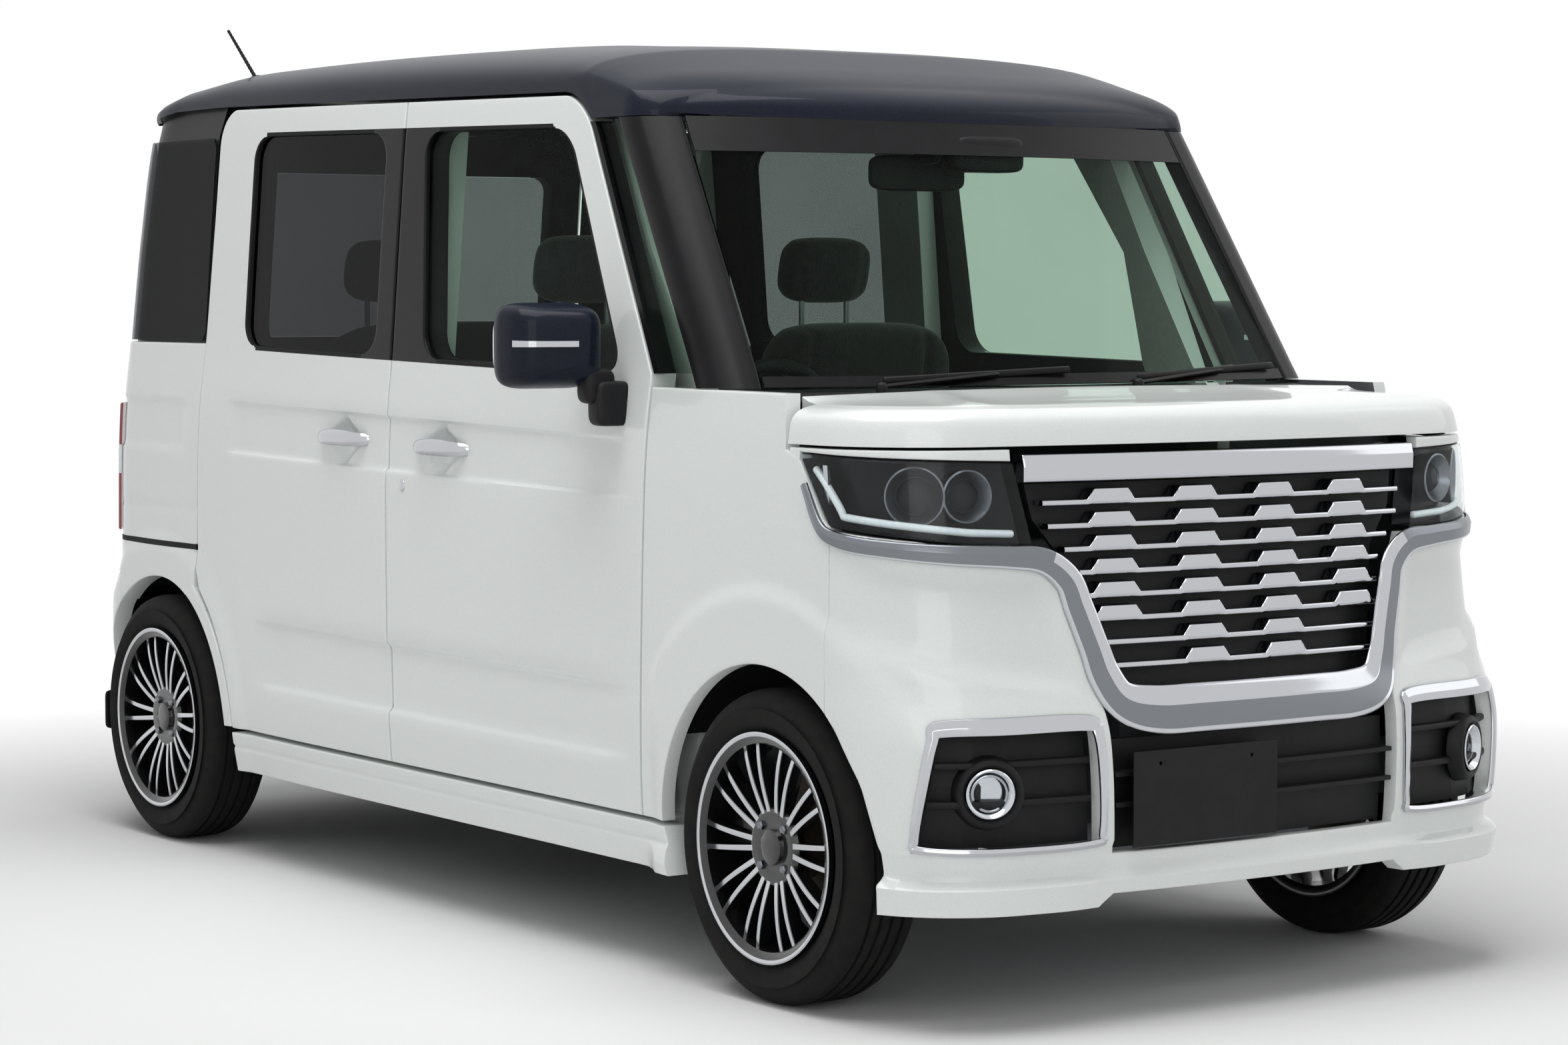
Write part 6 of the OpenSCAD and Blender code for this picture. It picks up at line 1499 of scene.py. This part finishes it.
def stuffed(mesh, held, voxel=20.0, limit=22.0):
    """Pad filled by a cloth simulation.

    The shape is remeshed in even cells, held along its sewn lines and on its back, and pressed outward for a few
    frames without gravity. No point moves further than the limit. One subdivision rounds the result.
    """
    scene = bpy.context.scene
    data = bpy.data.meshes.new("stuffing")
    data.from_pydata((mesh[0] * MM).tolist(), [], mesh[1].tolist())
    obj = bpy.data.objects.new("stuffing", data)
    scene.collection.objects.link(obj)
    cells = obj.modifiers.new("cells", "REMESH")
    cells.mode = "VOXEL"
    cells.voxel_size = voxel * MM
    even = bpy.data.meshes.new_from_object(evaluated(obj))
    obj.modifiers.clear()
    obj.data = even
    start = coords(even)
    obj.vertex_groups.new(name="held").add(np.flatnonzero(held(start / MM)).tolist(), 1.0, "REPLACE")
    filling = obj.modifiers.new("filling", "CLOTH")
    filling.settings.vertex_group_mass = "held"
    filling.settings.use_pressure = True
    filling.settings.uniform_pressure_force = 4.0
    filling.settings.effector_weights.gravity = 0.0
    filling.point_cache.frame_start = 1
    filling.point_cache.frame_end = FILL_FRAMES
    for frame_no in range(1, FILL_FRAMES + 1):
        scene.frame_set(frame_no)
    move = coords(evaluated(obj).data) - start
    far = np.linalg.norm(move, axis=1, keepdims=True)
    move *= np.minimum(1, limit * MM / np.maximum(far, 1e-9))
    obj.modifiers.clear()
    even.vertices.foreach_set("co", (start + move).ravel())
    even.update()
    rounding = obj.modifiers.new("rounding", "SUBSURF")
    rounding.levels = rounding.render_levels = 1
    fine = bpy.data.meshes.new_from_object(evaluated(obj))
    points = coords(fine).astype(float) / MM
    quads = np.empty(len(fine.loops), np.int32)
    fine.loops.foreach_get("vertex_index", quads)
    quads = quads.reshape(-1, 4)
    bpy.data.objects.remove(obj)
    for used in (data, even, fine):
        bpy.data.meshes.remove(used)
    scene.frame_set(1)
    return points, quads, np.zeros(len(quads), int)


def cushion(centre, size, tilt=0.0, power=6.0, channels=(), depth=7.0, bulge=0.06):
    """Stuffed pad: a rounded block filled between its sewn channels, with a stitched groove along each, leaned."""
    size = np.asarray(size, float)
    mesh = pad((0, 0, 0), size - [20, 20, 24], power, (44, 72), bulge)

    def groove(pts):
        """Share of the sewn lines at each point of the face: 1 on a line, 0 away from it."""
        face = ease(pts[:, 2] / (size[2] / 2) * 3 - 0.6)
        away = [(np.abs(pts[:, 0]) if axis == 0 else pts[:, axis]) - spot for axis, spot in channels]
        return face * np.exp(-(np.min(np.abs(away), axis=0) / 9.0) ** 2)

    mesh = stuffed(mesh, lambda pts: (groove(pts) > 0.4) | (pts[:, 2] < -0.36 * size[2]))
    pts = mesh[0].copy()
    pts[:, 2] -= depth * groove(pts)
    c, s = math.cos(tilt), math.sin(tilt)
    leaned = pts @ np.array([[1, 0, 0], [0, c, s], [0, -s, c]])
    return leaned + np.asarray(centre, float), mesh[1], mesh[2]


def seat_meshes(x, width, hip, depth, head_places):
    """Cushion, back, head rests and base of a seat, placed from its hip point."""
    lean = math.radians(77)
    base = pad((x, hip - 0.22 * depth, (FLOOR + 421) / 2 + 20), (width - 110, 0.6 * depth, 190), 7.0, (24, 48))
    sit = cushion((x, hip - 0.29 * depth, 525), (width, 0.86 * depth, 190), math.radians(-3), 7.0,
                  [(0, width / 2 - 105), (1, -0.18 * depth)])
    back = cushion((x, hip + 0.135 * depth, 880), (width, 660, 135), -lean + math.pi, 6.0,
                   [(0, width / 2 - 100), (1, 150)])
    pads, frame_parts = [sit, back], [painted(base, 1)]
    y = hip + 0.235 * depth
    for px in head_places:
        pads.append(cushion((px, y, 1308), (250, 165, 100), -lean + math.pi, 4.0, [(0, 82)], 4.0))
        for post in (px - 60, px + 60):
            frame_parts.append(painted(rod((post, y, 1150), (post, y, 1270), 6, 12, marks=6), 2))
    return join(*pads), join(*frame_parts)


class MICROVAN_OT_cabin(Operator):
    """Seats, dashboard, steering wheel and small fittings"""

    bl_idname = "microvan.cabin"
    bl_label = "Cabin"

    def execute(self, context):
        door, slide = POST_Y - DOOR_Y, SLIDE_Y - POST_Y
        kinds = use("woven_seat_cloth", "dash_vinyl", "satin_and_shaded_chrome")
        soft, hard = seat_meshes(310, 500, POST_Y - 0.267 * door, 0.7 * door, [310])
        pads = piece("front_seat_pads", both(soft), kinds, "body", ["front_seats"], smooth=60)
        piece("front_seat_frames", both(hard), kinds, "body", ())
        soft, hard = seat_meshes(0, 1060, SLIDE_Y - 0.28 * slide, 0.76 * slide, [-270, 270])
        pads = piece("rear_bench_pads", soft, kinds, "body", ["rear_bench"], smooth=60)
        piece("rear_bench_frame", hard, kinds, "body", ())
        coat("dash_vinyl", "dashboard", "steering_wheel")
        y = float(screen_y(1540.0))
        mirror = join(pad((-50, y + 105, 1492), (226, 26, 70), 5.0), pad((-50, y + 70, 1528), (26, 70, 40), 3.0),
                      pad((60, y + 36, 1528), (170, 60, 70), 6.0))
        piece("inside_mirror", mirror, use("black_moulded_abs"), "body", ())
        return {"FINISHED"}


class MICROVAN_OT_underside(Operator):
    """Finishes of the platform, drive and suspension"""

    bl_idname = "microvan.underside"
    bl_label = "Underside"

    def execute(self, context):
        coat("grey_primer", "floor_pan")
        coat("cast_aluminium", "engine")
        coat("black_moulded_abs", "fuel_tank", "wheel_liners")
        coat("pressed_steel", "exhaust", "front_suspension", "rear_axle")
        return {"FINISHED"}


def seen_ray(tree):
    """Socket that is 1 for rays from the camera, off a glossy face or through glass."""
    path = add_node(tree, "ShaderNodeLightPath").outputs
    seen = path["Is Camera Ray"]
    for kind in ("Is Glossy Ray", "Is Transmission Ray"):
        seen = add_node(tree, "ShaderNodeMath", {0: seen, 1: path[kind]}, operation="MAXIMUM").outputs[0]
    return seen


class MICROVAN_OT_stage(Operator):
    """Pale floor, soft studio light and the camera"""

    bl_idname = "microvan.stage"
    bl_label = "Stage"

    def execute(self, context):
        scene = context.scene
        scene.view_settings.view_transform = "Standard"
        data = bpy.data.meshes.new("studio_floor")
        data.from_pydata([(FLOOR_SIZE * x, FLOOR_SIZE * y, 0) for x, y in ((-1, -1), (1, -1), (1, 1), (-1, 1))], [],
                         [(0, 1, 2, 3)])
        floor = bpy.data.objects.new("studio_floor", data)
        scene.collection.objects.link(floor)
        mat = bpy.data.materials.new("white_studio_paper")
        mat.use_nodes = True
        tree = mat.node_tree
        shader = tree.nodes["Principled BSDF"]
        shader.inputs["Base Color"].default_value = linear("#F6F6F6")
        shader.inputs["Roughness"].default_value = 0.9
        shader.inputs["Specular IOR Level"].default_value = 0.0
        # Paper turns into plain white light away from the object, for rays that look at the backdrop
        place = add_node(tree, "ShaderNodeTexCoord").outputs["Object"]
        away = add_node(tree, "ShaderNodeVectorMath", {0: place}, operation="LENGTH")
        blend = add_node(tree, "ShaderNodeMapRange", {"Value": away.outputs["Value"]}, from_min=PAPER[0],
                         from_max=PAPER[1])
        share = add_node(tree, "ShaderNodeMath", {0: seen_ray(tree), 1: blend.outputs["Result"]},
                         operation="MULTIPLY")
        light = add_node(tree, "ShaderNodeEmission", Color=(1, 1, 1, 1))
        both_ways = add_node(tree, "ShaderNodeMixShader",
                             {0: share.outputs[0], 1: shader.outputs[0], 2: light.outputs[0]})
        tree.links.new(both_ways.outputs[0], tree.nodes["Material Output"].inputs["Surface"])
        data.materials.append(mat)
        world = bpy.data.worlds.new("studio_room")
        world.use_nodes = True
        tree = world.node_tree
        ground = tree.nodes["Background"]
        ground.inputs["Color"].default_value = (1, 1, 1, 1)
        level = add_node(tree, "ShaderNodeMapRange", {"Value": seen_ray(tree)}, to_min=ROOM_LIGHT, to_max=1.0)
        tree.links.new(level.outputs["Result"], ground.inputs["Strength"])
        scene.world = world
        for name, spot, power in SOFTBOXES:
            lamp = bpy.data.lights.new(name, "AREA")
            lamp.shape = "SQUARE"
            lamp.size = SOFTBOX_SIZE
            lamp.energy = power
            obj = bpy.data.objects.new(name, lamp)
            obj.location = spot
            obj.rotation_euler = (Vector((0, 0, 0.7)) - Vector(spot)).to_track_quat("-Z", "Y").to_euler()
            scene.collection.objects.link(obj)
        turn, dip = map(math.radians, CAMERA_TURN)
        look = Vector((-math.sin(turn) * math.cos(dip), math.cos(turn) * math.cos(dip), -math.sin(dip)))
        camera = bpy.data.cameras.new("photo_camera")
        camera.sensor_fit = "HORIZONTAL"
        camera.sensor_width = 36.0
        camera.lens = CAMERA_LENS
        camera.clip_end = 200.0
        obj = bpy.data.objects.new("photo_camera", camera)
        obj.location = CAMERA_SPOT
        obj.rotation_euler = look.to_track_quat("-Z", "Y").to_euler()
        scene.collection.objects.link(obj)
        scene.camera = obj
        return {"FINISHED"}


class MICROVAN_OT_finishes(Operator):
    """Makes the paints, plastics, metals, glass and cloth"""

    bl_idname = "microvan.finishes"
    bl_label = "Finishes"

    def execute(self, context):
        make_finishes(context.scene.microvan_paint)
        return {"FINISHED"}


STEPS = (MICROVAN_OT_finishes, MICROVAN_OT_stage, MICROVAN_OT_doors, MICROVAN_OT_body_sides, MICROVAN_OT_front,
         MICROVAN_OT_rear, MICROVAN_OT_roof, MICROVAN_OT_grille, MICROVAN_OT_lamps, MICROVAN_OT_mirrors,
         MICROVAN_OT_wheels, MICROVAN_OT_cabin, MICROVAN_OT_underside)


class MICROVAN_PT_panel(bpy.types.Panel):
    """Sizes, colours and building steps of the microvan"""

    bl_idname = "MICROVAN_PT_panel"
    bl_label = "Microvan"
    bl_space_type = "VIEW_3D"
    bl_region_type = "UI"
    bl_category = "Microvan"

    def draw(self, context):
        for group in (context.scene.microvan_paint, context.scene.microvan_sizes):
            for key in group.__annotations__:
                self.layout.prop(group, key)
        for step in STEPS:
            self.layout.operator(step.bl_idname)


CLASSES = (MicrovanPaint, MicrovanSizes, *STEPS, MICROVAN_PT_panel)


def register():
    for item in CLASSES:
        bpy.utils.register_class(item)
    bpy.types.Scene.microvan_paint = PointerProperty(type=MicrovanPaint)
    bpy.types.Scene.microvan_sizes = PointerProperty(type=MicrovanSizes)


def unregister():
    del bpy.types.Scene.microvan_sizes
    del bpy.types.Scene.microvan_paint
    for item in reversed(CLASSES):
        bpy.utils.unregister_class(item)


def main():
    register()
    for step in STEPS:
        group, name = step.bl_idname.split(".")
        getattr(getattr(bpy.ops, group), name)()


if __name__ == "__main__":
    main()
